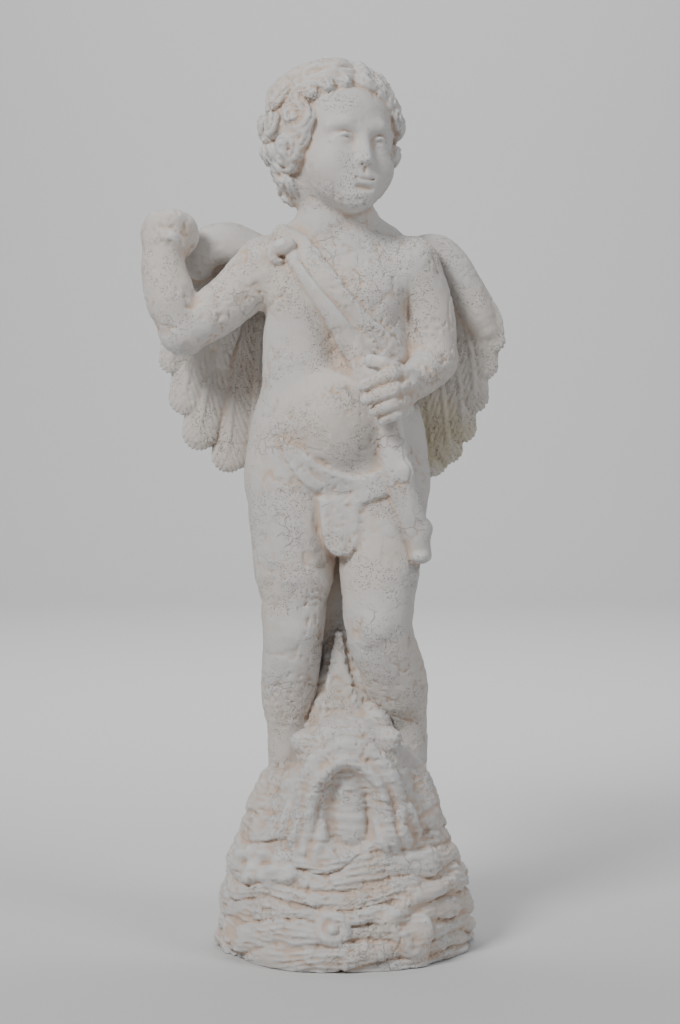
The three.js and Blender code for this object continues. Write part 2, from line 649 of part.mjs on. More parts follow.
function leftWing(clay) {
  const lean = -0.12;
  const plate = { normal: [lean, 1, 0], flat: 0.2 };
  clay.add(reach([[45, 56, 466, 28], [76, 61, 435, 34], [74, 63, 363, 30]], plate), 4);
  const primaries = [
    [[58, 56, 435, 14], [64, 58, 353, 19], [67, 60, 303, 17]],
    [[72, 54, 455, 13], [85, 56, 363, 19], [91, 58, 300, 17]],
    [[86, 51, 466, 12], [100, 53, 375, 19], [106, 55, 313, 17]],
    [[100, 48, 469, 11], [116, 50, 394, 18], [121, 52, 334, 16]],
    [[113, 45, 473, 10], [128, 47, 416, 17], [133, 49, 365, 16]],
    [[123, 42, 475, 10], [141, 44, 432, 16], [144, 46, 397, 14]],
    [[133, 38, 477, 9], [149, 40, 445, 12], [154, 42, 422, 11]],
  ];
  for (const points of primaries) clay.add(feather(points, lean), 1);
  const coverts = [
    [[86, 40, 489, 8], [96, 42, 453, 13], [102, 44, 420, 9]],
    [[98, 38, 491, 8], [110, 40, 461, 13], [119, 42, 432, 9]],
    [[110, 36, 489, 8], [124, 38, 463, 12], [135, 40, 441, 9]],
  ];
  for (const points of coverts) clay.add(feather(points, lean), 1);
  const spar = [
    [57, 34, 501, 18], [75, 32, 511, 17], [94, 32, 512, 18], [109, 34, 498, 19], [122, 37, 476, 19],
    [134, 40, 454, 18], [144, 42, 435, 13],
  ];
  clay.add(reach(spar, { normal: [0, 1, 0], flat: 0.9 }), 4);
}

function rightWing(clay) {
  const lean = 0.12;
  const plate = { normal: [lean, 1, 0], flat: 0.2 };
  clay.add(reach([[-64, 56, 466, 30], [-95, 61, 435, 36], [-93, 63, 363, 30]], plate), 4);
  clay.add(reach([
    [-76, 48, 490, 24], [-139, 46, 494, 25], [-147, 46, 478, 20],
  ], { normal: [lean, 1, 0], flat: 0.3 }), 4);
  const primaries = [
    [[-84, 56, 435, 14], [-90, 58, 353, 19], [-93, 60, 301, 14]],
    [[-101, 55, 453, 14], [-113, 57, 363, 21], [-118, 59, 306, 19]],
    [[-115, 51, 461, 13], [-137, 53, 384, 21], [-148, 55, 329, 19]],
    [[-127, 47, 465, 13], [-154, 49, 404, 20], [-163, 51, 364, 17]],
    [[-139, 43, 465, 12], [-168, 45, 424, 18], [-177, 47, 402, 13]],
  ];
  for (const points of primaries) clay.add(feather(points, lean), 1);
  const coverts = [
    [[-106, 43, 475, 12], [-121, 45, 435, 16], [-127, 47, 402, 11]],
    [[-124, 40, 475, 11], [-145, 42, 445, 15], [-153, 44, 419, 10]],
  ];
  for (const points of coverts) clay.add(feather(points, lean), 1);
  const spar = [
    [-73, 34, 501, 18], [-93, 32, 514, 19], [-117, 32, 521, 21], [-138, 32, 516, 21],
    [-147, 34, 501, 17],
  ];
  clay.add(reach(spar, { normal: [0, 1, 0], flat: 0.9 }), 4);
}

// A point on the rock, from its place on a rock of the modelled size, with z from the ground.
const onRock = ([x, y, z, ...radii]) => [
  (x * rockWidth) / 264, (y * rockDepth) / 236, (z * rockHeight) / 185, ...radii,
];
const rockLump = (centre, radii, turn) => ball(onRock(centre), radii, turn);
const rockReach = (points, options) => limb(points.map(onRock), options);
const laidOnRock = (clay, points) =>
  points.map(onRock).map(([x, y, z, radius]) => [x, clay.surface(x, z) + y, z, radius]);

function fish(clay) {
  clay.add([rockLump([6, -44, 149], [62, 48, 82]), rockLump([1, -42, 198], [48, 43, 39])], 12);
  clay.add(rockLump([32, -18, 223], [17, 18, 24]), 8);
  // The lips: a broad arch made of an outer roll and an inner one.
  const outer = [
    [-44, -74, 126, 9], [-41, -77, 156, 9], [-34, -80, 185, 10], [-19, -82, 205, 10], [2, -83, 214, 11],
    [25, -82, 207, 10], [42, -80, 187, 10], [52, -77, 158, 9], [57, -74, 128, 9],
  ];
  clay.add(rockReach(outer), 6);
  const inner = [
    [-34, -84, 130, 5], [-32, -88, 158, 6], [-23, -90, 183, 7], [3, -91, 201, 7.5], [28, -90, 185, 7],
    [40, -88, 160, 6], [45, -84, 132, 5],
  ];
  clay.add(rockReach(inner), 5);
  // The open mouth and its tongue.
  const mouth = [[4, -112, 176, 25], [5, -112, 159, 34], [6, -110, 140, 34]];
  clay.carve(rockReach(mouth, { normal: [0, 1, 0], flat: 1.15 }), 3);
  const tongue = [[6, -78, 192, 12], [6, -75, 163, 16], [7, -77, 129, 15]];
  clay.add(rockReach(tongue, { normal: [0, 1, 0], flat: 0.65 }), 2.5);
  for (const x of [-12, 30]) clay.add(rockReach([
    [x + 2, -76, 166, 3], [x, -74, 140, 3.6], [x, -76, 120, 3],
  ]), 4);
  for (const eye of [[-41, -52, 213], [45, -52, 216]]) clay.add(rockLump(eye, [12, 15, 12]), 9);
  // The fringe below the lips: x, the top and the radius of each lobe. The lobes spread outwards.
  const lobes = [
    [-52, 152, 7], [-42, 145, 7.5], [-32, 140, 7.5], [-22, 137, 7],
    [34, 137, 7], [43, 141, 7.5], [53, 146, 7.5], [62, 153, 7],
  ];
  for (const [x, top, radius] of lobes) {
    const lean = 0.16 * (x - 5);
    const lobe = [
      [x, 4, top, radius * 0.8], [x + lean * 0.5, 2, top - 15, radius],
      [x + lean, 3, top - 27, radius * 0.9],
    ];
    clay.add(limb(laidOnRock(clay, lobe)), 2);
  }
  // The tail fin between the legs: a flat cone with flutes.
  const tail = [[-1, -6, 32, 40], [-1, 2, 63, 30], [-4, 9, 102, 18], [-6, 13, 132, 9]];
  clay.add(reach(tail, { normal: [0, 1, 0], flat: 0.55 }), 7);
  for (let n = -2; n <= 2; n++)
    clay.add(reach([
      [-6 + n * 0.9, 1, 128, 2.5], [-5 + n * 4, -10, 86, 3.6], [-2 + n * 9.5, -24, 40, 4.6],
    ]), 3.5);
}

function rock(clay) {
  const layerHeight = rockHeight / rockLayers;
  const spread = (z) => 1 - 0.41 * Math.max(0, z / rockHeight) ** 1.6 - 0.04 * Math.max(0, 1 - z / 20) ** 2;
  clay.add({
    low: [-rockWidth / 2 - 8, -rockDepth / 2 - 8, -10],
    high: [rockWidth / 2 + 8, rockDepth / 2 + 8, rockHeight + 8],
    // How far a place is outside an oval that narrows upwards, less the relief of the ledges. A ledge
    // bulges with the root of a sine of the height, sags round the rock and stands out by its own amount.
    distance(x, y, z) {
      const angle = Math.atan2(y / rockDepth, x / rockWidth);
      const width = (rockWidth / 2) * spread(z);
      const depth = (rockDepth / 2) * spread(z);
      const waver = 2.5 * Math.sin(5 * angle + z / 25) + 1.5 * Math.sin(11 * angle - z / 9);
      const sag = 5 * Math.sin(2 * angle + 0.6) + waver;
      const height = z + sag;
      const uneven = 0.3 * Math.sin(height / 17 + 2 * angle) + 0.12 * Math.sin(7 * angle + 1);
      const phase = height / layerHeight + uneven;
      const number = Math.floor(phase);
      const own = 2.4 * Math.sin(2.4 * number + 3 * angle + 1.5 * Math.sin(5 * angle + number));
      const knobs = 1.2 * Math.sin(13 * angle + 2.7 * number) * Math.sin(9 * angle - number);
      const calm = 1 - 0.55 * Math.min(1, Math.max(0, (z / rockHeight - 0.54) / 0.32));
      const bulge = 4.6 * Math.sqrt(Math.abs(Math.sin(Math.PI * phase)));
      const relief = (bulge + own + knobs) * calm + 2 * Math.sin(3 * angle + z / 30) - 3.5;
      const out = (Math.hypot(x / width, y / depth) - 1) * Math.min(width, depth) - relief;
      const up = z - rockHeight + 4 - 4 * Math.sin(4 * angle);
      return smoothMax(out, up, 14) * 0.8;
    },
  }, 4);
  // Two slanting slabs, one on each shoulder of the rock.
  const rightSlab = [[59, -20, 188, 20], [73, -24, 167, 23], [83, -28, 142, 22]];
  clay.add(rockReach(rightSlab, { normal: [0.75, -0.5, 0.35], flat: 0.5 }), 5);
  const leftSlab = [[-53, -20, 168, 18], [-64, -26, 143, 21], [-78, -30, 119, 20]];
  clay.add(rockReach(leftSlab, { normal: [-0.75, -0.5, 0.35], flat: 0.5 }), 5);
  // Foam: small lumps heaped on the right flank, in two rings.
  for (const [radius, count] of [[9, 4], [21, 9]])
    for (let n = 0; n < count; n++) {
      const angle = (2 * Math.PI * (n + 0.3 * Math.sin(n))) / count;
      const place = [1.25 * radius * Math.cos(angle) - 78, 5, 93 + 0.6 * radius * Math.sin(angle)];
      clay.add(ball(laidOnRock(clay, [place])[0].slice(0, 3), [9, 10, 7]), 4);
    }
  // A knot in the stone: a ring with a knob in it.
  const ring = Array.from({ length: 13 }, (_, n) => {
    const angle = (2 * Math.PI * n) / 12;
    return [-11 + 12 * Math.cos(angle), 2, 43 + 11 * Math.sin(angle), 5.5];
  });
  clay.add(limb(laidOnRock(clay, ring), { steps: 1 }), 3);
  clay.add(ball(laidOnRock(clay, [[-12, 0, 43]])[0].slice(0, 3), [6, 8, 6]), 2);
  const leaf = [[40, 1, 48, 6], [60, 1, 63, 8], [84, 1, 70, 8], [106, 1, 74, 6]];
  const fold = [[46, 1, 42, 6], [60, 0, 24, 9], [74, 1, 8, 8]];
  clay.add(limb(laidOnRock(clay, leaf)), 5);
  clay.add(limb(laidOnRock(clay, fold)), 6);
  clay.add(ball(laidOnRock(clay, [[70, 4, 28]])[0].slice(0, 3), [16, 9, 24], [0, 20, 0]), 5);
  const floor = {
    low: [-rockWidth, -rockDepth, -40],
    high: [rockWidth, rockDepth, 0],
    distance: (x, y, z) => z,
  };
  clay.carve(floor, 0);
}

// The block holds the figure and the rock, with room to spare on all sides.
const blockLow = [-215 * figureScale, Math.min(-150 * figureScale, -rockDepth / 2 - 20), -12];
const blockHigh = [
  Math.max(175 * figureScale, rockWidth / 2 + 20),
  Math.max(150 * figureScale, rockDepth / 2 + 20),
  rockHeight + figureHeight + 20,
];
const clay = new Clay(blockLow, blockHigh, grain);
torso(clay);
legs(clay);
cloths(clay);
head(clay);
face(clay);
hair(clay);
leftWing(clay);
rightWing(clay);
rightArm(clay);
leftArm(clay);
bow(clay);
hand(clay);
rock(clay);
fish(clay);

// The face keeps smaller triangles than the rest, and the hand and the fish's mouth somewhat smaller ones.
const careful = [
  { at: onFigure(inHead([0, -50, -20])), reach: 48 * figureScale, care: 14 },
  { at: onFigure([42, -80, 371]), reach: 36 * figureScale, care: 3 },
  { at: onRock([5, -80, 145]), reach: 60, care: 2 },
];
const careAt = ([x, y, z]) => {
  const near = careful.filter(({ at, reach }) => Math.hypot(x - at[0], y - at[1], z - at[2]) < reach);
  return Math.max(1, ...near.map(({ care }) => care));
};

const { points, faces } = simplify(clay.skin(), skinTriangles, careAt);
const surface = new THREE.BufferGeometry()
  .setAttribute("position", new THREE.Float32BufferAttribute(points, 3))
  .setIndex(faces);
const geometry = mergeVertices(surface.toNonIndexed().deleteAttribute("normal"));
geometry.computeVertexNormals();

const castStone = new THREE.MeshStandardMaterial({ color: 0xd8d2ca, roughness: 0.85, metalness: 0 });
const statue = new THREE.Mesh(geometry, castStone);
statue.name = "cupid_statue";

const part = new THREE.Group();
part.add(statue);
export default part;
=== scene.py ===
# %% [markdown]
# # A cast-stone cupid
#
# This lesson dresses one garden statue: a winged cupid with a bow, standing on a wave-worn rock behind a
# fish's open mouth. The real thing was modelled in clay and cast in stone, so this file models in clay
# too. The clay is a block of numbers, each saying how far that place is from the surface, and numpy adds
# and carves shapes in it. One skin drawn where the number is zero is the mesh that Blender gets.

# %% Load the frame
import math

import bpy
import numpy as np
from mathutils import Matrix, Vector


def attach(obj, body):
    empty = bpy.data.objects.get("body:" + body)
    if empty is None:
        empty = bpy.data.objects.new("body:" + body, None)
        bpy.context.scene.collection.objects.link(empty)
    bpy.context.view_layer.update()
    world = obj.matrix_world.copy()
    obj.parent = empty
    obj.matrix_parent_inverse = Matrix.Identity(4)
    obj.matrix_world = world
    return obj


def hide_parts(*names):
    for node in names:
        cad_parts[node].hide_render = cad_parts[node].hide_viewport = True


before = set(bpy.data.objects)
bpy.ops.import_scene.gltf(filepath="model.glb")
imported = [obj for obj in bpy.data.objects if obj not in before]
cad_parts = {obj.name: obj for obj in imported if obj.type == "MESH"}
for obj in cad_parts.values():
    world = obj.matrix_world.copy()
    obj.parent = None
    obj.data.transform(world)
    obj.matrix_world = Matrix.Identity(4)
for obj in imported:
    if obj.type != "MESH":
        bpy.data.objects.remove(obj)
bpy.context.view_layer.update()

# %% [markdown]
# ## Sizes
#
# All shapes are worked out in millimetres, because a sculptor thinks in them, and become metres when a
# mesh is made. Heights of the figure count from the rock's top, and places on the rock from the ground.
# The viewer is at -Y; left and right are the figure's own.

# %% Sizes in millimetres
MM = 0.001
ROCK_HEIGHT = 185.0
ROCK_WIDTH = 264.0
ROCK_DEPTH = 236.0
ROCK_LAYERS = 9
BAND_WIDTH = 23.0
BAND_THICKNESS = 5.0
STRAP_WIDTH = 25.0
STRAP_THICKNESS = 4.0
WING_THICKNESS = 14.0
BOW_THICKNESS = 28.0
FAR = 60.0  # the distance of a place that no shape has reached
FINE = 1.45
print("the clay's cells are", FINE, "mm wide")

# %% [markdown]
# ## Joining with a thumb
#
# A signed distance is below zero inside the stone and above it outside. Taking the smaller of two joins
# two shapes; a smooth smaller-of fills the corner between them with a fillet, as a thumb does in clay.

# %% Join with a fillet
def smooth_min(a, b, blend):
    """The smaller of a and b, less a quarter of blend times the square of how near they are to equal."""
    if blend <= 0:
        return np.minimum(a, b)
    near = np.maximum(blend - np.abs(a - b), 0) / blend
    return np.minimum(a, b) - near * near * blend / 4


def smooth_max(a, b, blend):
    """The larger of a and b, with the corner between them rounded the same way."""
    return -smooth_min(-a, -b, blend)


print("in a corner, a fillet of 8 mm stands", -smooth_min(0.0, 0.0, 8.0), "mm proud")

# %% [markdown]
# ## The clay
#
# The block keeps one distance for each point of a grid, so it can be added to and carved like clay, and
# two forms never leave a seam as two meshes would. A shape only touches the window of the grid round it.

# %% The block of clay
class Clay:
    """A grid of signed distances between two corners, in millimetres."""

    def __init__(self, low, high, cell):
        self.cell = cell
        self.low = np.array(low, float)
        self.count = np.ceil((np.array(high, float) - self.low) / cell).astype(int) + 1
        self.field = np.full(self.count, FAR, np.float32)

    def window(self, low, high, reach):
        """The slices of the grid that a box covers, grown by a reach, and the places of their points."""
        first = np.floor((np.array(low) - reach - self.low) / self.cell).astype(int)
        last = np.ceil((np.array(high) + reach - self.low) / self.cell).astype(int) + 1
        first = np.clip(first, 0, self.count - 1)
        last = np.clip(last, first + 1, self.count)
        part = tuple(slice(a, b) for a, b in zip(first, last))
        steps = [self.low[k] + self.cell * np.arange(first[k], last[k]) for k in range(3)]
        return part, np.ix_(*[s.astype(np.float32) for s in steps])

    def apply(self, shapes, reach, merge):
        """Joins a group of shapes sharply to one another, then merges the whole into the block."""
        shapes = flat_list(shapes)
        low = np.min([s.low for s in shapes], 0)
        high = np.max([s.high for s in shapes], 0)
        margin = reach + 2 * self.cell
        part, _ = self.window(low, high, margin)
        start = np.array([p.start for p in part])
        group = np.full(self.field[part].shape, FAR, np.float32)
        for shape in shapes:
            inner, places = self.window(shape.low, shape.high, margin)
            local = tuple(slice(p.start - a, p.stop - a) for p, a in zip(inner, start))
            group[local] = np.minimum(group[local], shape.distance(*places))
        old = self.field[part]
        self.field[part] = np.where(group < FAR, merge(old, group), old)

    def add(self, shapes, blend=0.0):
        self.apply(shapes, blend, lambda old, new: smooth_min(old, new, blend))

    def carve(self, shapes, blend=0.0):
        self.apply(shapes, blend, lambda old, new: -smooth_min(-old, new, blend))

    def wrap(self, shapes, thickness, soft):
        """A strip of cloth of one thickness that hugs the stone where the shapes meet it, with soft
        edges: the larger of the cloth's depth and the shape, smoothed, then joined to the stone."""

        def merge(old, new):
            strip = -smooth_min(thickness - old, -new, soft)
            return smooth_min(old, strip, soft)

        self.apply(shapes, soft, merge)

    def sample(self, field, places):
        """A grid's value at any places: the mean of the eight points round each, weighted by nearness."""
        spot = np.clip((places - self.low) / self.cell, 0, self.count - 1.001)
        base = spot.astype(int)
        share = spot - base
        total = np.zeros(len(places))
        for corner in np.ndindex(2, 2, 2):
            weight = np.prod(np.where(corner, share, 1 - share), axis=1)
            total += weight * field[tuple((base + corner).T)]
        return total

    def surface(self, x, z):
        """The y where a line along Y first meets the stone, seen from the front."""
        n = self.count[1]
        y = self.low[1] + self.cell * np.arange(n)
        column = self.sample(self.field, np.stack([np.full(n, x), y, np.full(n, z)], 1))
        hit = np.argmax(column < 0)
        if column[hit] >= 0 or hit == 0:
            return 0.0
        share = column[hit - 1] / (column[hit - 1] - column[hit])
        return float(y[hit - 1] + (y[hit] - y[hit - 1]) * share)

    def litres(self):
        """The number of points inside the stone times the volume of a cell."""
        return round(float((self.field < 0).sum()) * self.cell**3 / 1e6, 2)


def flat_list(shapes):
    """A list of lists of shapes as one list."""
    if isinstance(shapes, (list, tuple)):
        return [s for group in shapes for s in flat_list(group)]
    return [shapes]


figure_clay = Clay([-215, -125, 165], [145, 115, 908], FINE)
print("the figure's block has", figure_clay.field.size, "points")

# %% [markdown]
# ## Balls and cones
#
# Three shapes make nearly all of a figure. The first two are a ball stretched into an ellipsoid, and a
# cone with round ends. Each knows the box it fills and how far any place is from its skin.

# %% Balls and cones
class Shape:
    """A box, and a function that gives the distance at places in it."""

    def __init__(self, low, high, distance):
        self.low = np.array(low, float)
        self.high = np.array(high, float)
        self.distance = distance


def turn_of(degrees):
    """The rotation about X, then Y, then Z."""
    a, b, c = [math.radians(v) for v in degrees]
    return np.array(Matrix.Rotation(c, 3, "Z") @ Matrix.Rotation(b, 3, "Y") @ Matrix.Rotation(a, 3, "X"))


def ball(centre, radii, turn=(0, 0, 0)):
    """An ellipsoid: the length of the place scaled by the radii, less one, over the slope of that length."""
    m = turn_of(turn)
    reach = max(radii)

    def distance(x, y, z):
        d = (x - centre[0], y - centre[1], z - centre[2])
        own = [(m[0, k] * d[0] + m[1, k] * d[1] + m[2, k] * d[2]) / radii[k] for k in range(3)]
        length = np.sqrt(own[0] ** 2 + own[1] ** 2 + own[2] ** 2)
        slope = np.sqrt(sum((own[k] / radii[k]) ** 2 for k in range(3)))
        return length * (length - 1) / np.maximum(slope, 1e-6)

    return Shape([v - reach for v in centre], [v + reach for v in centre], distance)


def cone(a, b, ra, rb, normal=None, flat=1.0):
    """Distance to the line from a to b, less a radius that runs from ra to rb. Before that, the place is
    stretched along the normal by one over flat, which thins the cone to that share of its thickness."""
    a, b = np.array(a, float), np.array(b, float)
    reach = max(ra, rb) * max(1, flat)
    slope = (1 + min(1, flat)) / 2
    n = np.array(normal if normal is not None else (0, 0, 1), float)
    n = n / np.linalg.norm(n)
    stretch = np.eye(3) + (1 / flat - 1) * np.outer(n, n)
    line = stretch @ (b - a)
    length2 = max(float(line @ line), 1e-9)

    def distance(x, y, z):
        d = (x - a[0], y - a[1], z - a[2])
        p = [stretch[k, 0] * d[0] + stretch[k, 1] * d[1] + stretch[k, 2] * d[2] for k in range(3)]
        t = np.clip((p[0] * line[0] + p[1] * line[1] + p[2] * line[2]) / length2, 0, 1)
        off = np.sqrt(sum((p[k] - t * line[k]) ** 2 for k in range(3)))
        return (off - (ra + (rb - ra) * t)) * slope

    return Shape(np.minimum(a, b) - reach, np.maximum(a, b) + reach, distance)


egg = ball([0, 0, 0], [10, 10, 10])
print("6 mm from the middle of a 10 mm ball the distance is", round(float(egg.distance(0, 0, 6)), 2))

# %% [markdown]
# ## Limbs
#
# The third shape is a limb: a row of round cones along a smooth curve through a few points, each with a
# radius. Arms, feathers, lips and locks of hair are all limbs, so a few named points give each its pose.

# %% Curves and limbs
def stations(points, steps):
    """Places and radii along a smooth curve through [x, y, z, radius] points. Between two points the
    place is a cubic whose slope at each point looks to its neighbours, and the radius eases across."""
    p = np.array(points, float)
    padded = np.vstack([2 * p[0] - p[1], p, 2 * p[-1] - p[-2]])
    gaps = np.sqrt(np.linalg.norm(np.diff(padded[:, :3], axis=0), axis=1))
    gaps = np.maximum(gaps, 1e-4)
    rows = []
    for n in range(len(p) - 1):
        a, b, c, d = padded[n:n + 4]
        g0, g1, g2 = gaps[n:n + 3]
        start = ((b - a) / g0 - (c - a) / (g0 + g1) + (c - b) / g1) * g1
        end = ((c - b) / g1 - (d - b) / (g1 + g2) + (d - c) / g2) * g1
        t = np.arange(steps)[:, None] / steps
        place = (2 * t**3 - 3 * t**2 + 1) * b + (t**3 - 2 * t**2 + t) * start
        place += (3 * t**2 - 2 * t**3) * c + (t**3 - t**2) * end
        ease = t * t * (3 - 2 * t)
        place[:, 3:] = b[3] * (1 - ease) + c[3] * ease
        rows.append(place)
    return np.vstack(rows + [p[-1:]])


def limb(points, steps=4, normal=None, flat=1.0):
    """A row of round cones along a smooth curve through the points."""
    path = stations(points, steps)
    return [cone(a[:3], b[:3], a[3], b[3], normal, flat) for a, b in zip(path[:-1], path[1:])]


def on_figure(point):
    """A figure's place, given above the rock's top."""
    x, y, z, *rest = point
    return [x, y, z + ROCK_HEIGHT, *rest]


def lump(centre, radii, turn=(0, 0, 0)):
    return ball(on_figure(centre), radii, turn)


def reach(points, **options):
    return limb([on_figure(p) for p in points], **options)


def laid(clay, points):
    """Points laid on the front of the clay: their y is how far below that surface they lie."""
    raised = [on_figure(p) for p in points]
    return [[x, clay.surface(x, z) + y, z, r] for x, y, z, r in raised]


bend = stations([[0, 0, 0, 1], [0, 0, 9, 2], [3, 0, 20, 1]], 4)
print("a curve through 3 points has", len(bend), "stations")

# %% [markdown]
# ## The skin
#
# Surface nets turn the block into a mesh. Each grid cell that the surface crosses gets one vertex, at
# the mean of the places where the cell's twelve edges cross zero, and each crossed grid edge gets one
# square between the four cells round it. The result is even, with nearly square faces. Two sheets
# of stone in one cell share its point, so an edge there can belong to more than two faces.

# %% Surface nets
def skin(clay):
    """Vertices and squares of the surface where the block is zero."""
    field = clay.field
    inside = field < 0
    corners = list(np.ndindex(2, 2, 2))
    steps = [(a, b, np.subtract(b, a)) for a in corners for b in corners]
    edges = [(a, b) for a, b, step in steps if step.sum() == 1 and np.abs(step).sum() == 1]
    shape = np.array(field.shape) - 1
    cut = [slice(c, c + n) for c in (0, 1) for n in shape]
    total = np.zeros(shape, np.uint8)
    for corner in corners:
        total += inside[tuple(cut[3 * c + k] for k, c in enumerate(corner))]
    cells = np.argwhere((total > 0) & (total < 8))
    sums = np.zeros((len(cells), 3))
    hits = np.zeros(len(cells))
    for a, b in edges:
        va = field[tuple((cells + a).T)].astype(float)
        vb = field[tuple((cells + b).T)].astype(float)
        crossed = (va < 0) != (vb < 0)
        share = np.where(crossed, va / np.where(crossed, va - vb, 1), 0)
        sums += crossed[:, None] * (np.array(a) + share[:, None] * np.subtract(b, a))
        hits += crossed
    points = clay.low + clay.cell * (cells + sums / hits[:, None])
    number = np.full(shape, -1, np.int32)
    number[tuple(cells.T)] = np.arange(len(cells))
    squares = []
    for axis in range(3):
        before = np.moveaxis(inside, axis, 0)[:-1]
        after = np.moveaxis(inside, axis, 0)[1:]
        changed = np.moveaxis(before != after, 0, axis)
        leaves = np.moveaxis(before, 0, axis)
        spots = np.argwhere(changed)
        u, v = (axis + 1) % 3, (axis + 2) % 3
        kept = (spots[:, u] > 0) & (spots[:, v] > 0) & (spots[:, u] < shape[u]) & (spots[:, v] < shape[v])
        spots = spots[kept]
        ring = []
        for du, dv in ((1, 1), (0, 1), (0, 0), (1, 0)):
            step = np.zeros(3, int)
            step[u], step[v] = -du, -dv
            ring.append(number[tuple((spots + step).T)])
        ring = np.stack(ring, 1)
        outward = leaves[tuple(spots.T)]
        squares.append(np.where(outward[:, None], ring, ring[:, ::-1]))
    return points, np.vstack(squares)


trial = Clay([-12, -12, -12], [12, 12, 12], 2.0)
trial.add(egg)
print("the skin of a 10 mm ball in 2 mm cells has", len(skin(trial)[1]), "squares")

# %% [markdown]
# ## Body and legs
#
# A child's body is built as a sculptor blocks it in: an egg for the chest, rounded columns for the flanks,
# a full belly, thick thighs and soft knees. Each form is smoothed into the last one with a fillet of 5 to
# 22 mm. The weight stands on the right leg, and the left knee comes forward.

# %% Model the body and legs
def torso(clay):
    clay.add(lump([-10, 10, 470], [69, 44, 62]))
    clay.add(reach([[-76, 8, 498, 25], [-8, 12, 510, 33], [64, 8, 498, 25]]), 20)
    clay.add(reach([[-8, 14, 542, 28], [-48, 12, 520, 18]]), 16)
    clay.add(reach([[-8, 14, 542, 28], [38, 12, 520, 18]]), 16)
    chest, blade = [-8, -20, 466], [-8, 32, 475]
    for side in (-1, 1):
        clay.add(lump([chest[0] + side * 32, chest[1], chest[2]], [31, 15, 25]), 22)
        clay.add(lump([blade[0] + side * 34, blade[1], blade[2]], [30, 22, 38]), 16)
    clay.add(reach([[-40, 8, 423, 41], [-43, 6, 371, 40], [-51, 4, 325, 44], [-54, 2, 295, 45]]), 16)
    clay.add(reach([[26, 8, 423, 41], [30, 6, 371, 40], [38, 4, 325, 44], [40, 2, 291, 45]]), 16)
    clay.add(lump([-3, -14, 339], [58, 54, 54]), 16)
    clay.add(lump([-6, 8, 283], [80, 50, 42]), 22)
    # The breastbone's shallow furrow.
    clay.carve(reach([[-8, -50, 478, 2], [-4, -50, 431, 2.5], [-2, -54, 402, 1.5]]), 12)


def legs(clay):
    right = [
        [-51, 0, 273, 46], [-50, -6, 203, 41], [-50, -8, 159, 33], [-51, -10, 124, 30],
        [-55, 2, 73, 28.5], [-56, 6, 24, 21], [-56, 6, -38, 20],
    ]
    left = [
        [38, -2, 271, 46], [36, -18, 204, 40], [34, -28, 166, 36], [35, -34, 135, 33], [51, -12, 85, 32],
        [60, 6, 40, 24], [62, 12, -39, 21],
    ]
    clay.add(reach(right), 10)
    clay.add(reach(left), 10)
    clay.add(lump([-41, 36, 273], [44, 38, 42]), 14)
    clay.add(lump([33, 36, 273], [44, 38, 42]), 14)
    clay.add(lump([-49, -29, 134], [17, 14, 18]), 5)
    clay.add(lump([31, -57, 141], [19, 15, 20]), 5)
    clay.add(lump([-54, 20, 70], [24, 22, 38]), 8)
    clay.add(lump([54, 10, 76], [26, 22, 36]), 8)
    web = [[-8, 24, 221, 22], [-10, 24, 140, 24], [-6, 26, 59, 30], [-2, 26, -22, 34]]
    clay.add(reach(web, normal=[0, 1, 0], flat=0.6), 8)


torso(figure_clay)
legs(figure_clay)
print("the body and legs hold", figure_clay.litres(), "litres")

# %% [markdown]
# ## Strap and band
#
# The strap and the band are cloth of one thickness that follows the body. Each is a deep ribbon cut through
# the body, kept only within a few millimetres of the skin, so it hugs every hollow. A fold of cloth with
# shallow pleats hangs from the band.

# %% Model the cloth
DEEP = {"normal": [0, 1, 0], "flat": 3.0}


def drape(clay):
    """A fold of cloth below the band. Its outline narrows downwards to a rounded hem, and its front is a
    plane less a cosine across, which makes the pleats."""
    x0, _, top = on_figure([-3, 0, 268])
    drop = 58.0
    spacing = 14.0

    def distance(x, y, z):
        down = np.clip((top - z) / drop, 0, 1)
        aside = x - x0 + 0 * z
        half = 22 - 5 * down
        wave = np.cos(aside * 2 * np.pi / spacing)
        hem = top - drop + 0.035 * aside**2 + 0.5 * wave
        outline = smooth_max(np.abs(aside) - half, hem - z, 9)
        front = -50 - 2 * down - 0.7 * (0.4 + 0.6 * down) * wave
        return smooth_max(smooth_max(outline, z - top, 3), front - y, 6) + 0 * y

    clay.add(Shape([x0 - 28, -64, top - drop - 6], [x0 + 28, -14, top + 6], distance), 5)


def cloths(clay):
    half = STRAP_WIDTH / 2
    strap = [
        [-64, 0, 532, half * 0.55], [-43, 0, 518, half * 0.62], [-18, 0, 486, half * 0.68],
        [8, 0, 450, half * 0.75], [47, 0, 410, half],
    ]
    clay.wrap(limb(laid(clay, strap), **DEEP), STRAP_THICKNESS, 2)
    edge = BAND_WIDTH / 2
    band = [
        [-62, 0, 323, edge * 0.2], [-46, 0, 305, edge * 0.9], [-30, 0, 290, edge * 1.1],
        [-10, 0, 280, edge * 1.15], [13, 0, 275, edge * 1.15], [35, 0, 281, edge * 1.1], [52, 0, 291, edge],
    ]
    clay.wrap(limb(laid(clay, band), **DEEP), BAND_THICKNESS, 4)
    drape(clay)


cloths(figure_clay)
print("with the cloth it holds", figure_clay.litres(), "litres")

# %% [markdown]
# ## Head
#
# The head is an egg for the skull and a smaller one for the jaw, with full cheeks. It is modelled with its
# own left, back and up, and one turn places it on the neck, so the face stays even on both sides.

# %% Model the head
HEAD_CENTRE = np.array([-7, 2, 619])
HEAD_TURN = (-4, 4, 28)


def in_head(point):
    """A place of the head, turned and tilted with it."""
    x, y, z, *rest = point
    return [*(HEAD_CENTRE + turn_of(HEAD_TURN) @ np.array([x, y, z])), *rest]


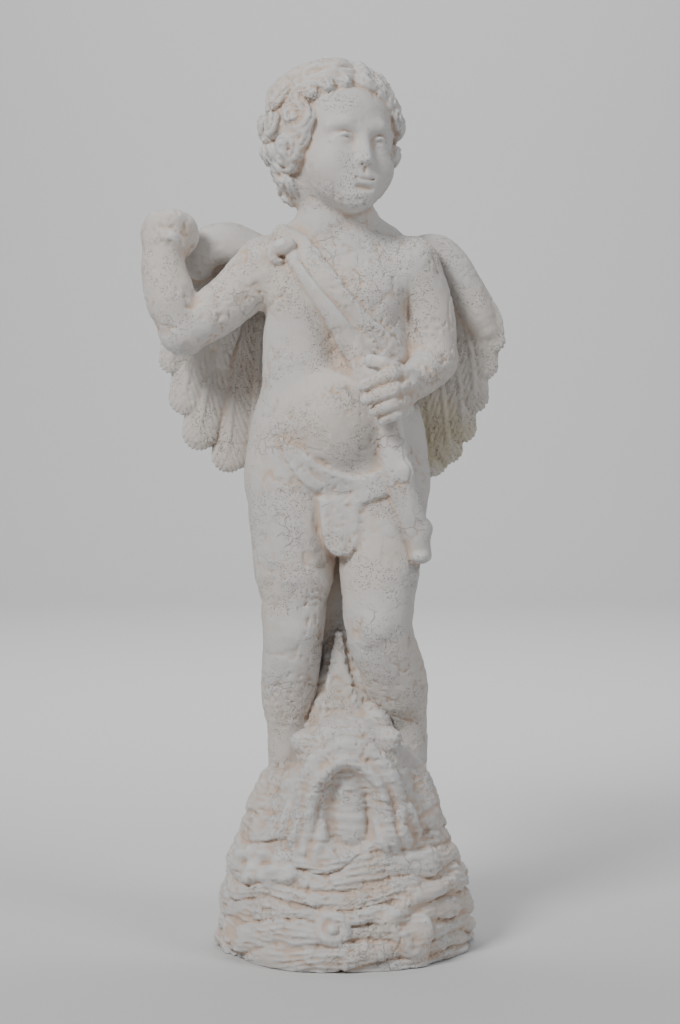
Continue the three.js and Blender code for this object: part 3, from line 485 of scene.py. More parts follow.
def head_lump(centre, radii):
    return lump(in_head(centre), radii, HEAD_TURN)


def head_reach(points, **options):
    return reach([in_head(p) for p in points], **options)


def head(clay):
    clay.add(reach([[-7, 14, 526, 37], [-7, 8, 556, 33], [-6, 6, 594, 33]]), 14)
    clay.add([head_lump([0, 10, 10], [57, 60, 54]), head_lump([0, -18, 16], [46, 39, 36])], 8)
    clay.add(head_lump([0, -18, -24], [43, 41, 43]), 14)
    for side in (-1, 1):
        clay.add(head_lump([side * 21, -33, -35], [20, 19, 20]), 12)
    clay.add(head_lump([0, -32, -50], [31, 25, 20]), 12)
    clay.add(head_lump([0, -43, -60], [18, 16, 14]), 12)
    clay.add(head_lump([-2, 22, -38], [47, 36, 30]), 10)


head(figure_clay)
print("the head's middle is at", on_figure(HEAD_CENTRE))

# %% [markdown]
# ## Face
#
# The face is a calm one of the sculptor's own, on the proportions that drawing books give a child: eyes
# at half the head's height, nose and mouth dividing what is below.

# %% Model the face
def face(clay):
    for side in (-1, 1):
        # A wide shallow socket, an eyeball that fills it, and two lids that wrap the ball.
        clay.carve(head_lump([side * 20, -63.5, -9], [15, 12, 8]), 10)
        clay.add(head_lump([side * 20, -43.6, -11.5], [12.5, 11.2, 9]), 2)
        upper = [
            [side * 9.5, -51, -12.5, 1.3], [side * 14, -53.8, -6.6, 1.5], [side * 21, -54.6, -4.8, 1.7],
            [side * 32.5, -47, -11, 1.3],
        ]
        lower = [
            [side * 9.5, -51, -12.5, 1.2], [side * 16, -54, -17.4, 1.4], [side * 24, -52.6, -17.4, 1.4],
            [side * 32.5, -47, -11, 1.2],
        ]
        clay.add(head_reach(upper), 1.2)
        clay.add(head_reach(lower), 1.8)
        clay.add(head_reach([
            [side * 9, -52.5, 4, 2.6], [side * 19, -53.5, 7.5, 3], [side * 31, -46, 4, 2.6],
        ]), 12)
        # The cheek, full at the height of the nose's tip.
        clay.add(head_lump([side * 22, -38, -31], [16, 14, 15]), 12)
    clay.add(head_reach([
        [0, -54, -1, 4.4], [0, -57.6, -13, 4.2], [0, -61, -24, 5.2], [0, -62, -28, 5.6],
    ]), 8)
    for side in (-1, 1):
        clay.add(head_lump([side * 6.4, -57, -30], [4.2, 5.2, 3.8]), 4)
        clay.carve(head_lump([side * 3.8, -61.5, -33.6], [2.1, 3, 1.5]), 1.5)
    clay.add(head_lump([0, -48.5, -45], [17, 9, 13]), 10)
    clay.carve(head_reach([[0, -60, -36, 1], [0, -60, -40.5, 1.4]]), 2.5)
    upper_lip = [
        [-14, -52.8, -45.4, 1.5], [-8, -56.6, -45.2, 2.4], [-3, -58.2, -44.2, 2.9],
        [0, -58.2, -44.8, 2.7], [3, -58.2, -44.2, 2.9], [8, -56.6, -45.2, 2.4], [14, -52.8, -45.4, 1.5],
    ]
    lower_lip = [
        [-10, -54.2, -49, 2], [-5, -56.8, -50.8, 3.6], [0, -57.6, -51.4, 4], [5, -56.8, -50.8, 3.6],
        [10, -54.2, -49, 2],
    ]
    clay.add(head_reach(upper_lip), 2.5)
    clay.add(head_reach(lower_lip), 2.5)
    parting = [
        [-14.5, -54.6, -45.6, 0.8], [-7, -59.8, -47.4, 1], [0, -60.8, -47.9, 1], [7, -59.8, -47.4, 1],
        [14.5, -54.6, -45.6, 0.8],
    ]
    clay.carve(head_reach(parting), 1.6)
    clay.carve(head_lump([0, -59, -56.5], [10, 4, 3]), 5)
    clay.add(head_lump([0, -46, -64], [13, 12, 9]), 9)


face(figure_clay)
print("with the face it holds", figure_clay.litres(), "litres")

# %% [markdown]
# ## Locks and curls
#
# Hair in stone is soft locks. A lock is a tapering roll swept over the skull, and a curl is a roll wound
# into a snail. Grooves round each roll make its strands. Particle hair would look combed, not carved.

# %% Locks and curls
STRAND_TWIST = 0.05


def strands(points, count, depth):
    """A limb with grooves for the strands: the distance to the limb plus a wave round its axis, which
    also turns as it goes along, so the strands twist about each other."""
    path = np.array(points, float)
    steps = np.diff(path[:, :3], axis=0)
    lengths = np.concatenate([[0], np.cumsum(np.linalg.norm(steps, axis=1))])
    rolls = [cone(a[:3], b[:3], a[3], b[3]) for a, b in zip(path[:-1], path[1:])]
    middle = np.array(on_figure(HEAD_CENTRE))

    def distance(x, y, z):
        best = angle = along = None
        for n, roll in enumerate(rolls):
            line = steps[n] / max(np.linalg.norm(steps[n]), 1e-6)
            out = path[n, :3] - middle
            side = np.cross(line, out)
            side /= max(np.linalg.norm(side), 1e-6)
            up = np.cross(side, line)
            d = (x - path[n, 0], y - path[n, 1], z - path[n, 2])
            here = roll.distance(x, y, z)
            turn = np.arctan2(sum(d[k] * up[k] for k in range(3)), sum(d[k] * side[k] for k in range(3)))
            walk = lengths[n] + sum(d[k] * line[k] for k in range(3))
            if best is None:
                best, angle, along = here, turn + 0 * here, walk + 0 * here
            else:
                nearer = here < best
                best = np.where(nearer, here, best)
                angle = np.where(nearer, turn, angle)
                along = np.where(nearer, walk, along)
        groove = 1 - np.abs(np.sin(angle * count / 2 + STRAND_TWIST * along * 3))
        return best + depth * groove**2

    low = np.min([s.low for s in rolls], 0)
    high = np.max([s.high for s in rolls], 0)
    return Shape(low, high, distance)


def on_skull(around, up, lift):
    """A place on the hair's cap, from degrees round from the face to the left and degrees up."""
    a, b = np.radians(around), np.radians(up)
    x = 61 * lift * np.sin(a) * np.cos(b)
    y = 12 - 62 * lift * np.cos(a) * np.cos(b)
    z = 9 + 60 * lift * np.sin(b)
    return np.stack([x, y, z], -1)


def lock(around, up, turn, fall, width, wave, curl):
    """One lock: it starts at degrees round from the face and up, turns and falls by degrees in a wave,
    and lifts from the skull by curl at its tip. Its width swells in the middle."""
    share = np.linspace(0, 1, 11)
    place = on_skull(around + turn * share + wave * np.sin(2 * np.pi * share), up - fall * share, 1)
    place = (place - [0, 12, 9]) * (1 + curl * share[:, None] ** 2) + [0, 12, 9]
    radius = width * (0.45 + 0.6 * np.sin(np.pi * (share * 0.82 + 0.06)))
    return strands([on_figure(in_head([*p, r])) for p, r in zip(place, radius)], count=6, depth=2.6)


def snail(around, up, size, spin, turns=0.95, proud=1.06):
    """One curl: a spiral in the plane that touches the skull, tighter and thinner towards its middle,
    where it also stands highest."""
    share = np.linspace(0, 1, 12)
    centre = on_skull(around, up, proud)
    out = centre - [0, 12, 9]
    out = out / np.linalg.norm(out)
    east = np.cross([0, 0, 1], out)
    east /= np.linalg.norm(east)
    north = np.cross(out, east)
    angle = spin * (2 * np.pi * turns * share + around / 17)
    arm = size * (0.85 - 0.72 * share)
    place = centre + 1.12 * np.cos(angle)[:, None] * arm[:, None] * east
    place = place + np.sin(angle)[:, None] * arm[:, None] * north
    place = place + out * (size * 0.3 * share[:, None] - 2)
    radius = size * (0.6 - 0.14 * share) * (1 - 0.35 * (1 - share) ** 4)
    return strands([on_figure(in_head([*p, r])) for p, r in zip(place, radius)], count=5, depth=2.5)


curl = snail(90, 0, 12, 1)
print("a curl of 12 mm fills a box of", (curl.high - curl.low).round(1).tolist(), "mm")

# %% [markdown]
# ## Hair
#
# A cap covers the skull behind the hairline. Rows of curls go round the sides and back, a few loose ones
# break the rows, and locks are swept from the crown to a curled fringe. The sines of the numbers vary the
# rows without a random draw.

# %% Model the hair
def hair(clay):
    cap = head_lump([0, 13, 10], [62, 64, 61])
    centre = np.array(on_figure(HEAD_CENTRE))
    facing = turn_of(HEAD_TURN) @ np.array([0, -0.9, -0.43])

    def behind_hairline(x, y, z):
        ahead = facing[0] * (x - centre[0]) + facing[1] * (y - centre[1]) + facing[2] * (z - centre[2])
        return np.maximum(cap.distance(x, y, z), ahead - 20)

    clay.add(Shape(cap.low, cap.high, behind_hairline), 4)
    rows = [
        {"count": 8, "up": -38, "size": 12, "span": (84, 276)},
        {"count": 9, "up": -17, "size": 14.5, "span": (64, 296)},
        {"count": 9, "up": 8, "size": 15.5, "span": (52, 308)},
        {"count": 9, "up": 32, "size": 15, "span": (50, 310)},
        {"count": 6, "up": 55, "size": 14, "span": (90, 270)},
    ]
    for row in rows:
        first, last = row["span"]
        for n in range(row["count"]):
            around = first + (last - first) * (n + 0.5 + 0.18 * math.sin(7 * n + row["up"])) / row["count"]
            spin = 1 if around > 180 else -1
            up = row["up"] + 5 * math.sin(5 * n + row["up"])
            clay.add(snail(around, up, row["size"] * (1 + 0.16 * math.sin(3 * n + row["up"])), spin), 2)
    loose = [
        [280, -30, 14, 1.08], [264, -50, 14, 1.16], [248, -44, 15, 1.1], [238, -58, 13, 1.25],
        [298, -12, 13, 1.05], [86, -44, 13, 1.12], [104, -52, 13, 1.2],
    ]
    for around, up, size, proud in loose:
        clay.add(snail(around, up, size, 1 if around > 180 else -1, proud=proud), 3)
    swept = [
        [-10, 84, -14, 38], [-34, 78, -22, 36], [-62, 70, -22, 36], [-86, 58, -14, 34],
        [20, 82, 12, 36], [48, 74, 18, 38], [76, 62, 14, 36], [150, 78, 20, 30], [-150, 78, -20, 30],
    ]
    for around, up, turn, fall in swept:
        clay.add(lock(around, up, turn, fall, 15, 6, 0.06), 2)
    fringe = [
        [-6, 62, -10, 24, 11], [-22, 58, -12, 26, 12], [-38, 52, -10, 28, 12], [-52, 42, -6, 26, 11],
        [10, 60, 8, 22, 11], [26, 56, 12, 25, 12], [42, 48, 8, 26, 12], [54, 36, 2, 26, 11],
    ]
    for around, up, turn, fall, width in fringe:
        clay.add(lock(around, up, turn, fall, width, 6, 0.08), 2)
        side = 1 if around > 0 else -1
        clay.add(snail(around + turn, up - fall, 8, -side, 0.9, 1.02), 2)


hair(figure_clay)
print("with the hair it holds", figure_clay.litres(), "litres")

# %% [markdown]
# ## Arms, bow and hand
#
# The right arm is raised and ends in a loose fist. The left one comes forward to hold the bow, so it is
# modelled before the bow is laid on the chest, and the hand last, over the bow. The bow is a limb that
# ends in a curled horn above and a worn foot below.

# %% Model the arms, the bow and the hand
def right_arm(clay):
    clay.add(reach([[-80, 4, 495, 29], [-120, -2, 457, 26], [-159, -8, 430, 23]]), 12)
    clay.add(reach([
        [-160, -8, 432, 23], [-172, -12, 464, 25], [-179, -10, 500, 22], [-177, -4, 525, 22],
    ]), 6)
    clay.add(lump([-175, -4, 527], [26, 25, 23]), 8)
    clay.add(reach([[-185, -16, 538, 10], [-170, -18, 540, 11], [-159, -10, 538, 10]]), 6)
    clay.add(reach([[-167, -18, 539, 7], [-153, -9, 535, 7], [-152, 0, 522, 7.5], [-160, 4, 511, 8]]), 4)
    clay.add(reach([[-182, -24, 521, 6], [-170, -28, 523, 6.5], [-161, -22, 517, 6]]), 5)


def left_arm(clay):
    clay.add(reach([[68, 4, 497, 27], [85, 8, 453, 25], [90, 4, 407, 23]]), 12)
    clay.add(reach([[90, 0, 401, 23], [77, -28, 387, 20], [62, -58, 377, 16]]), 6)


def bow(clay):
    grip = BOW_THICKNESS / 2
    upper = [
        [-55, -2, 510, grip * 0.5], [-39, -2, 486, grip * 0.58], [-16, -1, 455, grip * 0.75],
        [10, 0, 413, grip * 0.98], [33, 0, 367, grip * 1.1], [46, 0, 324, grip * 1.05],
    ]
    lower = [[54, -52, 291], [63, -49, 260], [72, -43, 232], [75, -40, 216]]
    taper = [1.05, 0.95, 0.85, 0.75]
    stave = laid(clay, upper) + [on_figure([*place, grip * share]) for place, share in zip(lower, taper)]
    clay.add(limb(stave), 4)
    horn = laid(clay, [
        [-53, -3, 516, 6], [-60, -4, 513, 8], [-68, -4, 509, 7], [-68, -3, 501, 5], [-63, -2, 499, 4],
    ])
    clay.add(limb(horn), 2)
    clay.add(lump([75, -38, 210], [11, 17, 8]), 3)
    clay.add(lump([58, -60, 291], [10, 10, 13]), 5)
    clay.add(lump([78, -42, 236], [9, 12, 11]), 4)
    furrow = laid(clay, [[-43, 0, 501, 1.6], [-23, 0, 475, 2], [3, 0, 445, 2.2], [37, 0, 411, 1.8]])
    clay.carve(limb(furrow), 3)


def hand(clay):
    clay.add(lump([54, -66, 375], [19, 16, 21]), 8)
    fingers = [
        [[60, -70, 388, 7.5], [42, -88, 386, 7.5], [19, -86, 376, 6.5]],
        [[64, -72, 377, 7.5], [45, -90, 372, 7.5], [22, -86, 364, 6.5]],
        [[63, -72, 366, 7], [47, -88, 360, 7], [29, -84, 352, 6]],
        [[61, -70, 355, 6.5], [49, -84, 350, 6.5], [36, -80, 344, 5.5]],
    ]
    for finger in fingers:
        clay.add(reach(finger), 1)
    clay.add(reach([[54, -68, 388, 9], [40, -78, 396, 8.5], [26, -76, 400, 7]]), 2)


for model in (right_arm, left_arm, bow, hand):
    model(figure_clay)
print("the whole figure holds", figure_clay.litres(), "litres")

# %% [markdown]
# ## A feather
#
# A feather is a thinned limb with a raised shaft, and slanted grooves on both sides of it for the barbs.
# The grooves fade out at the rim, which keeps the edge smooth as on the worn casting.

# %% Model a feather
BARB_DEPTH = 1.8
BARB_SPACING = 11.5


def feather(points, lean):
    """A flat blade along a curve. Its relief is a raised shaft, less a wave whose phase grows along the
    feather and away from the shaft, so that the grooves slant outwards and down."""
    path = stations([on_figure(p) for p in points], 4)
    normal = np.array([lean, 1, 0.06])
    normal /= np.linalg.norm(normal)
    thin = WING_THICKNESS / 36
    blades = [cone(a[:3], b[:3], a[3], b[3], normal, thin) for a, b in zip(path[:-1], path[1:])]
    lengths = np.concatenate([[0], np.cumsum(np.linalg.norm(np.diff(path[:, :3], axis=0), axis=1))])

    def distance(x, y, z):
        best = along = across = rim = None
        for n, blade in enumerate(blades):
            a, b = path[n, :3], path[n + 1, :3]
            line = (b - a) / np.linalg.norm(b - a)
            side = np.cross(normal, line)
            d = (x - a[0], y - a[1], z - a[2])
            here = blade.distance(x, y, z)
            walk = lengths[n] + sum(d[k] * line[k] for k in range(3)) + 0 * here
            off = np.abs(sum(d[k] * side[k] for k in range(3))) + 0 * here
            share = off / max(path[n, 3], path[n + 1, 3])
            if best is None:
                best, along, across, rim = here, walk, off, share
            else:
                nearer = here < best
                best = np.where(nearer, here, best)
                along = np.where(nearer, walk, along)
                across = np.where(nearer, off, across)
                rim = np.where(nearer, share, rim)
        waver = 1.2 * np.sin(along / 7.0) + 0.8 * np.sin(across / 2.3)
        groove = np.abs(np.sin(np.pi * (along - 2.1 * across + waver) / BARB_SPACING))
        fade = np.clip((0.97 - rim) / 0.25, 0, 1)
        before_tip = np.clip((lengths[-1] + 2 - along) / 16, 0, 1)
        shaft = np.maximum(0, 1 - (across / 3.6) ** 2) * before_tip
        return best + BARB_DEPTH * fade * (1 - groove**0.9) * (1 - shaft) - 2.4 * shaft

    low = np.min([s.low for s in blades], 0) - 2
    high = np.max([s.high for s in blades], 0) + 2
    return Shape(low, high, distance)


print("a groove for each", BARB_SPACING, "mm of feather,", BARB_DEPTH, "mm deep")

# %% [markdown]
# ## Wings
#
# A wing is a thick rolled front edge with short coverts under it and long flat feathers that fan out below,
# over a thin plate that closes the gaps between them.

# %% Model the wings
def left_wing(clay):
    lean = -0.12
    plate = [[45, 56, 466, 28], [76, 61, 435, 34], [74, 63, 363, 30]]
    clay.add(reach(plate, normal=[lean, 1, 0], flat=0.2), 4)
    primaries = [
        [[58, 56, 435, 14], [64, 58, 353, 19], [67, 60, 303, 17]],
        [[72, 54, 455, 13], [85, 56, 363, 19], [91, 58, 300, 17]],
        [[86, 51, 466, 12], [100, 53, 375, 19], [106, 55, 313, 17]],
        [[100, 48, 469, 11], [116, 50, 394, 18], [121, 52, 334, 16]],
        [[113, 45, 473, 10], [128, 47, 416, 17], [133, 49, 365, 16]],
        [[123, 42, 475, 10], [141, 44, 432, 16], [144, 46, 397, 14]],
        [[133, 38, 477, 9], [149, 40, 445, 12], [154, 42, 422, 11]],
    ]
    coverts = [
        [[86, 40, 489, 8], [96, 42, 453, 13], [102, 44, 420, 9]],
        [[98, 38, 491, 8], [110, 40, 461, 13], [119, 42, 432, 9]],
        [[110, 36, 489, 8], [124, 38, 463, 12], [135, 40, 441, 9]],
    ]
    for points in primaries + coverts:
        clay.add(feather(points, lean), 1)
    spar = [
        [57, 34, 501, 18], [75, 32, 511, 17], [94, 32, 512, 18], [109, 34, 498, 19], [122, 37, 476, 19],
        [134, 40, 454, 18], [144, 42, 435, 13],
    ]
    clay.add(reach(spar, normal=[0, 1, 0], flat=0.9), 4)


def right_wing(clay):
    lean = 0.12
    clay.add(reach([
        [-64, 56, 466, 30], [-95, 61, 435, 36], [-93, 63, 363, 30],
    ], normal=[lean, 1, 0], flat=0.2), 4)
    clay.add(reach([
        [-76, 48, 490, 24], [-139, 46, 494, 25], [-147, 46, 478, 20],
    ], normal=[lean, 1, 0], flat=0.3), 4)
    primaries = [
        [[-84, 56, 435, 14], [-90, 58, 353, 19], [-93, 60, 301, 14]],
        [[-101, 55, 453, 14], [-113, 57, 363, 21], [-118, 59, 306, 19]],
        [[-115, 51, 461, 13], [-137, 53, 384, 21], [-148, 55, 329, 19]],
        [[-127, 47, 465, 13], [-154, 49, 404, 20], [-163, 51, 364, 17]],
        [[-139, 43, 465, 12], [-168, 45, 424, 18], [-177, 47, 402, 13]],
    ]
    coverts = [
        [[-106, 43, 475, 12], [-121, 45, 435, 16], [-127, 47, 402, 11]],
        [[-124, 40, 475, 11], [-145, 42, 445, 15], [-153, 44, 419, 10]],
    ]
    for points in primaries + coverts:
        clay.add(feather(points, lean), 1)
    spar = [
        [-73, 34, 501, 18], [-93, 32, 514, 19], [-117, 32, 521, 21], [-138, 32, 516, 21],
        [-147, 34, 501, 17],
    ]
    clay.add(reach(spar, normal=[0, 1, 0], flat=0.9), 4)


left_wing_clay = Clay([15, -10, 380], [175, 125, 720], FINE)
left_wing(left_wing_clay)
right_wing_clay = Clay([-190, -10, 380], [-5, 125, 730], FINE)
right_wing(right_wing_clay)
print("the wings hold", left_wing_clay.litres(), "and", right_wing_clay.litres(), "litres")

# %% [markdown]
# ## Rock
#
# The rock is worn by waves into ledges that sag and swell, so its outline is an oval that wavers with
# height. Slabs, foam, a knot and a leaf of stone are laid on its front where the real one shows them.

# %% Model the rock
def laid_on_rock(clay, points):
    """As laid(), with heights from the ground, and with or without a radius."""
    return [[x, clay.surface(x, z) + y, z, *rest] for x, y, z, *rest in points]


def rock(clay):
    layer = ROCK_HEIGHT / ROCK_LAYERS

    def spread(z):
        return 1 - 0.41 * np.maximum(0, z / ROCK_HEIGHT) ** 1.6 - 0.04 * np.maximum(0, 1 - z / 20) ** 2

    def ledges(x, y, z):
        """How far the place is outside an oval that narrows upwards, less the relief of the ledges. A
        ledge bulges as the root of a sine of the height, sags and swells round the rock, stands out by
        its own amount, and carries fine ridges."""
        angle = np.arctan2(y / ROCK_DEPTH, x / ROCK_WIDTH)
        width = ROCK_WIDTH / 2 * spread(z)
        depth = ROCK_DEPTH / 2 * spread(z)
        height = z + 5 * np.sin(2 * angle + 0.6) + 2.5 * np.sin(5 * angle + z / 25)
        height = height + 1.5 * np.sin(11 * angle - z / 9)
        phase = height / layer + 0.3 * np.sin(height / 17 + 2 * angle) + 0.12 * np.sin(7 * angle + 1)
        number = np.floor(phase)
        ledge = np.sqrt(np.abs(np.sin(np.pi * phase)))
        own = 2.4 * np.sin(2.4 * number + 3 * angle + 1.5 * np.sin(5 * angle + number))
        ridges = 0.8 * np.sin(2 * np.pi * height / 5.4 + 2 * np.sin(4 * angle + number))
        ridges = ridges * (0.6 + 0.4 * np.sin(6 * angle + number))
        knobs = 1.2 * np.sin(13 * angle + 2.7 * number) * np.sin(9 * angle - number)
        calm = 1 - 0.55 * np.clip((z - 100) / 60, 0, 1)
        relief = (4.6 * ledge + own + ridges + knobs) * calm + 2 * np.sin(3 * angle + z / 30) - 3.5
        out = (np.sqrt((x / width) ** 2 + (y / depth) ** 2) - 1) * np.minimum(width, depth) - relief
        up = z - ROCK_HEIGHT + 4 - 4 * np.sin(4 * angle)
        return smooth_max(out, up, 14) * 0.8

    low = [-ROCK_WIDTH / 2 - 8, -ROCK_DEPTH / 2 - 8, -10]
    high = [ROCK_WIDTH / 2 + 8, ROCK_DEPTH / 2 + 8, ROCK_HEIGHT + 8]
    clay.add(Shape(low, high, ledges), 4)
    # Two slanting slabs, one on each shoulder of the rock.
    right_slab = [[59, -20, 188, 20], [73, -24, 167, 23], [83, -28, 142, 22]]
    clay.add(limb(right_slab, normal=[0.75, -0.5, 0.35], flat=0.5), 5)
    left_slab = [[-53, -20, 168, 18], [-64, -26, 143, 21], [-78, -30, 119, 20]]
    clay.add(limb(left_slab, normal=[-0.75, -0.5, 0.35], flat=0.5), 5)
    # Foam: small lumps heaped on the right flank.
    for ring, cluster in ((9, 4), (21, 9)):
        for n in range(cluster):
            angle = 2 * math.pi * (n + 0.3 * math.sin(n)) / cluster
            spot = laid_on_rock(clay, [
                [1.25 * ring * math.cos(angle) - 78, 5, 93 + 0.6 * ring * math.sin(angle)],
            ])[0]
            clay.add(ball(spot, [9, 10, 7]), 4)
    # A knot in the stone: a ring with a knob in it.
    around = np.linspace(0, 2 * np.pi, 13)
    ring = [[-11 + 12 * math.cos(a), 2, 43 + 11 * math.sin(a), 5.5] for a in around]
    clay.add(limb(laid_on_rock(clay, ring), steps=1), 3)
    knob = laid_on_rock(clay, [[-12, 0, 43]])[0]
    clay.add(ball(knob, [6, 8, 6]), 2)
    leaf = [[40, 1, 48, 6], [60, 1, 63, 8], [84, 1, 70, 8], [106, 1, 74, 6]]
    fold = [[46, 1, 42, 6], [60, 0, 24, 9], [74, 1, 8, 8]]
    clay.add(limb(laid_on_rock(clay, leaf)), 5)
    clay.add(limb(laid_on_rock(clay, fold)), 6)
    slab = laid_on_rock(clay, [[70, 4, 28]])[0]
    clay.add(ball(slab, [16, 9, 24], (0, 20, 0)), 5)


rock_clay = Clay([-150, -135, -8], [150, 135, 350], FINE)
rock(rock_clay)
print("the rock holds", rock_clay.litres(), "litres")

# %% [markdown]
# ## Fish
#
# The fish looks out of the rock with its mouth wide open: a lip like an arch, a gum inside it, a hollow
# with the tongue, a round bulge over each eye, and a fluted tail rising between the legs. When it is done
# the underside is cut flat.

# %% Model the fish
def fish(clay):
    clay.add([ball([6, -44, 149], [62, 48, 82]), ball([1, -42, 198], [48, 43, 39])], 12)
    clay.add(ball([32, -18, 223], [17, 18, 24]), 8)
    # The lips: a broad arch made of an outer roll and an inner one, which run into each other.
    outer = [
        [-44, -74, 126, 9], [-41, -77, 156, 9], [-34, -80, 185, 10], [-19, -82, 205, 10],
        [2, -83, 214, 11], [25, -82, 207, 10], [42, -80, 187, 10], [52, -77, 158, 9], [57, -74, 128, 9],
    ]
    clay.add(limb(outer), 6)
    inner = [
        [-34, -84, 130, 5], [-32, -88, 158, 6], [-23, -90, 183, 7], [3, -91, 201, 7.5], [28, -90, 185, 7],
        [40, -88, 160, 6], [45, -84, 132, 5],
    ]
    clay.add(limb(inner), 5)
    # The open mouth, and the tongue that hangs in it.
    mouth = [[4, -112, 176, 25], [5, -112, 159, 34], [6, -110, 140, 34]]
    clay.carve(limb(mouth, normal=[0, 1, 0], flat=1.15), 3)
    tongue = [[6, -78, 192, 12], [6, -75, 163, 16], [7, -77, 129, 15]]
    clay.add(limb(tongue, normal=[0, 1, 0], flat=0.65), 2.5)
    for x in (-12, 30):
        rib = [[x + 2, -76, 166, 3], [x, -74, 140, 3.6], [x, -76, 120, 3]]
        clay.add(limb(rib), 4)
    for eye in ([-41, -52, 213], [45, -52, 216]):
        clay.add(ball(eye, [12, 15, 12]), 9)
    # The fringe below the lips: rounded lobes side by side that spread outwards.
    lobes = [
        [-52, 152, 7], [-42, 145, 7.5], [-32, 140, 7.5], [-22, 137, 7], [34, 137, 7], [43, 141, 7.5],
        [53, 146, 7.5], [62, 153, 7],
    ]
    for x, top, radius in lobes:
        lean = 0.16 * (x - 5)
        lobe = [
            [x, 4, top, radius * 0.8], [x + lean * 0.5, 2, top - 15, radius],
            [x + lean, 3, top - 27, radius * 0.9],
        ]
        clay.add(limb(laid_on_rock(clay, lobe)), 2)
    # The tail fin between the legs: a flat cone with flutes.
    tail = [[-1, -6, 32, 40], [-1, 2, 63, 30], [-4, 9, 102, 18], [-6, 13, 132, 9]]
    clay.add(reach(tail, normal=[0, 1, 0], flat=0.55), 7)
    for n in range(5):
        x = (n - 2) * 9.0
        flute = [[-6 + x * 0.1, 1, 128, 2.5], [-5 + x * 0.45, -10, 86, 3.6], [-2 + x * 1.05, -24, 40, 4.6]]
        clay.add(reach(flute), 3.5)


fish(rock_clay)
floor_cut = Shape([-160, -140, -20], [160, 140, 0], lambda x, y, z: z + 0 * x + 0 * y)
rock_clay.carve(floor_cut)
print("with the fish and a flat underside it holds", rock_clay.litres(), "litres")

# %% [markdown]
# ## Hollows and wear
#
# Old cast stone is pitted, cracked and flaked, and dust settles in its hollows, darkened here also with
# painted shade. The wear is a noise for each vertex that moves it in or out, because a bump alone doesn't
# change an outline. How hollow a place is comes from the share of stone near it: a flat face has half, a
# hollow more and an edge less.

# %% Hollows and wear
def softened(field, cells):
    """The share of stone in a cube of that many cells each way: running means along each axis in turn."""
    mass = (field < 0).astype(np.float32)
    width = 2 * cells + 1
    for axis in range(3):
        pad = [(cells + 1, cells) if k == axis else (0, 0) for k in range(3)]
        sums = np.cumsum(np.pad(mass, pad, mode="edge"), axis=axis, dtype=np.float64)
        ahead = np.take(sums, np.arange(width, sums.shape[axis]), axis=axis)
        behind = np.take(sums, np.arange(0, sums.shape[axis] - width), axis=axis)
        mass = ((ahead - behind) / width).astype(np.float32)
    return mass


def mottle(places, size, seed):
    """Noise from 0 to 1: a random number at each corner of a lattice of cubes of that size, from a hash
    of the corner's three whole numbers, eased between the eight corners round a place."""
    spot = places / size + seed * 17.3
    base = np.floor(spot).astype(np.int64)
    share = spot - base
    share = share * share * (3 - 2 * share)
    total = np.zeros(len(places))
    for corner in np.ndindex(2, 2, 2):
        i, j, k = (base + corner).T
        code = (i * 73856093) ^ (j * 19349663) ^ (k * 83492791) ^ (seed * 2654435761)
        code = (code ^ (code >> 13)) * 1274126177 & 0x7FFFFFFF
        value = ((code ^ (code >> 16)) & 0xFFFF) / 65535
        total += value * np.prod(np.where(corner, share, 1 - share), axis=1)
    return total


def step_between(value, low, high):
    """0 below low, 1 above high, eased between."""
    t = np.clip((value - low) / (high - low), 0, 1)
    return t * t * (3 - 2 * t)


def weathering(places, roughness, layered=0.0):
    """How far the stone's skin is worn back or left proud, in millimetres: soft swells, a grain, pits in
    patches where a fine noise is high, cracks where a wide noise is near its middle, flakes that have
    come off down to a lower level, and on layered stone a noise that is drawn out sideways."""
    swell = mottle(places, 16, 1) - 0.5
    grain = mottle(places, 4.5, 2) - 0.5
    patch = step_between(mottle(places, 34, 3), 0.42, 0.62)
    pits = step_between(mottle(places, 3.4, 4), 0.62, 0.8) * patch
    bent = places + 7 * (mottle(places, 9, 5)[:, None] - 0.5) * [1, -0.6, 1.4]
    line = 1 - np.abs(2 * mottle(bent, 30, 6) - 1)
    torn = step_between(mottle(places, 30, 7), 0.52, 0.66)
    cracks = step_between(line, 0.9, 0.98) * torn
    flakes = step_between(mottle(bent, 13, 9), 0.56, 0.62) * step_between(mottle(places, 46, 10), 0.46, 0.58)
    courses = mottle(places * [0.4, 0.4, 1.7], 5, 8) - 0.5
    worn = 0.8 * swell + 0.7 * grain - 1.25 * pits - 1.1 * cracks - 0.8 * flakes
    return roughness * worn + layered * courses


steps = np.arange(0.0, 200.0, 10.0)
wear = weathering(np.stack(np.meshgrid(steps, steps, steps), -1).reshape(-1, 3), 1.0)
print("the wear runs from", round(float(wear.min()), 2), "to", round(float(wear.max()), 2), "mm")

# %% [markdown]
# ## From clay to mesh
#
# Each block of clay becomes one mesh in metres, worn and then thinned by a Decimate modifier that
# keeps the sharp places. Three numbers go with each vertex for the finish: hollow and deep, the share of
# stone within about 4 and 16 mm, and calm, which is 1 where the wear is held back, as on the face.

# %% From clay to mesh
HOLLOW_REACH = 4.0
DEEP_REACH = 16.0


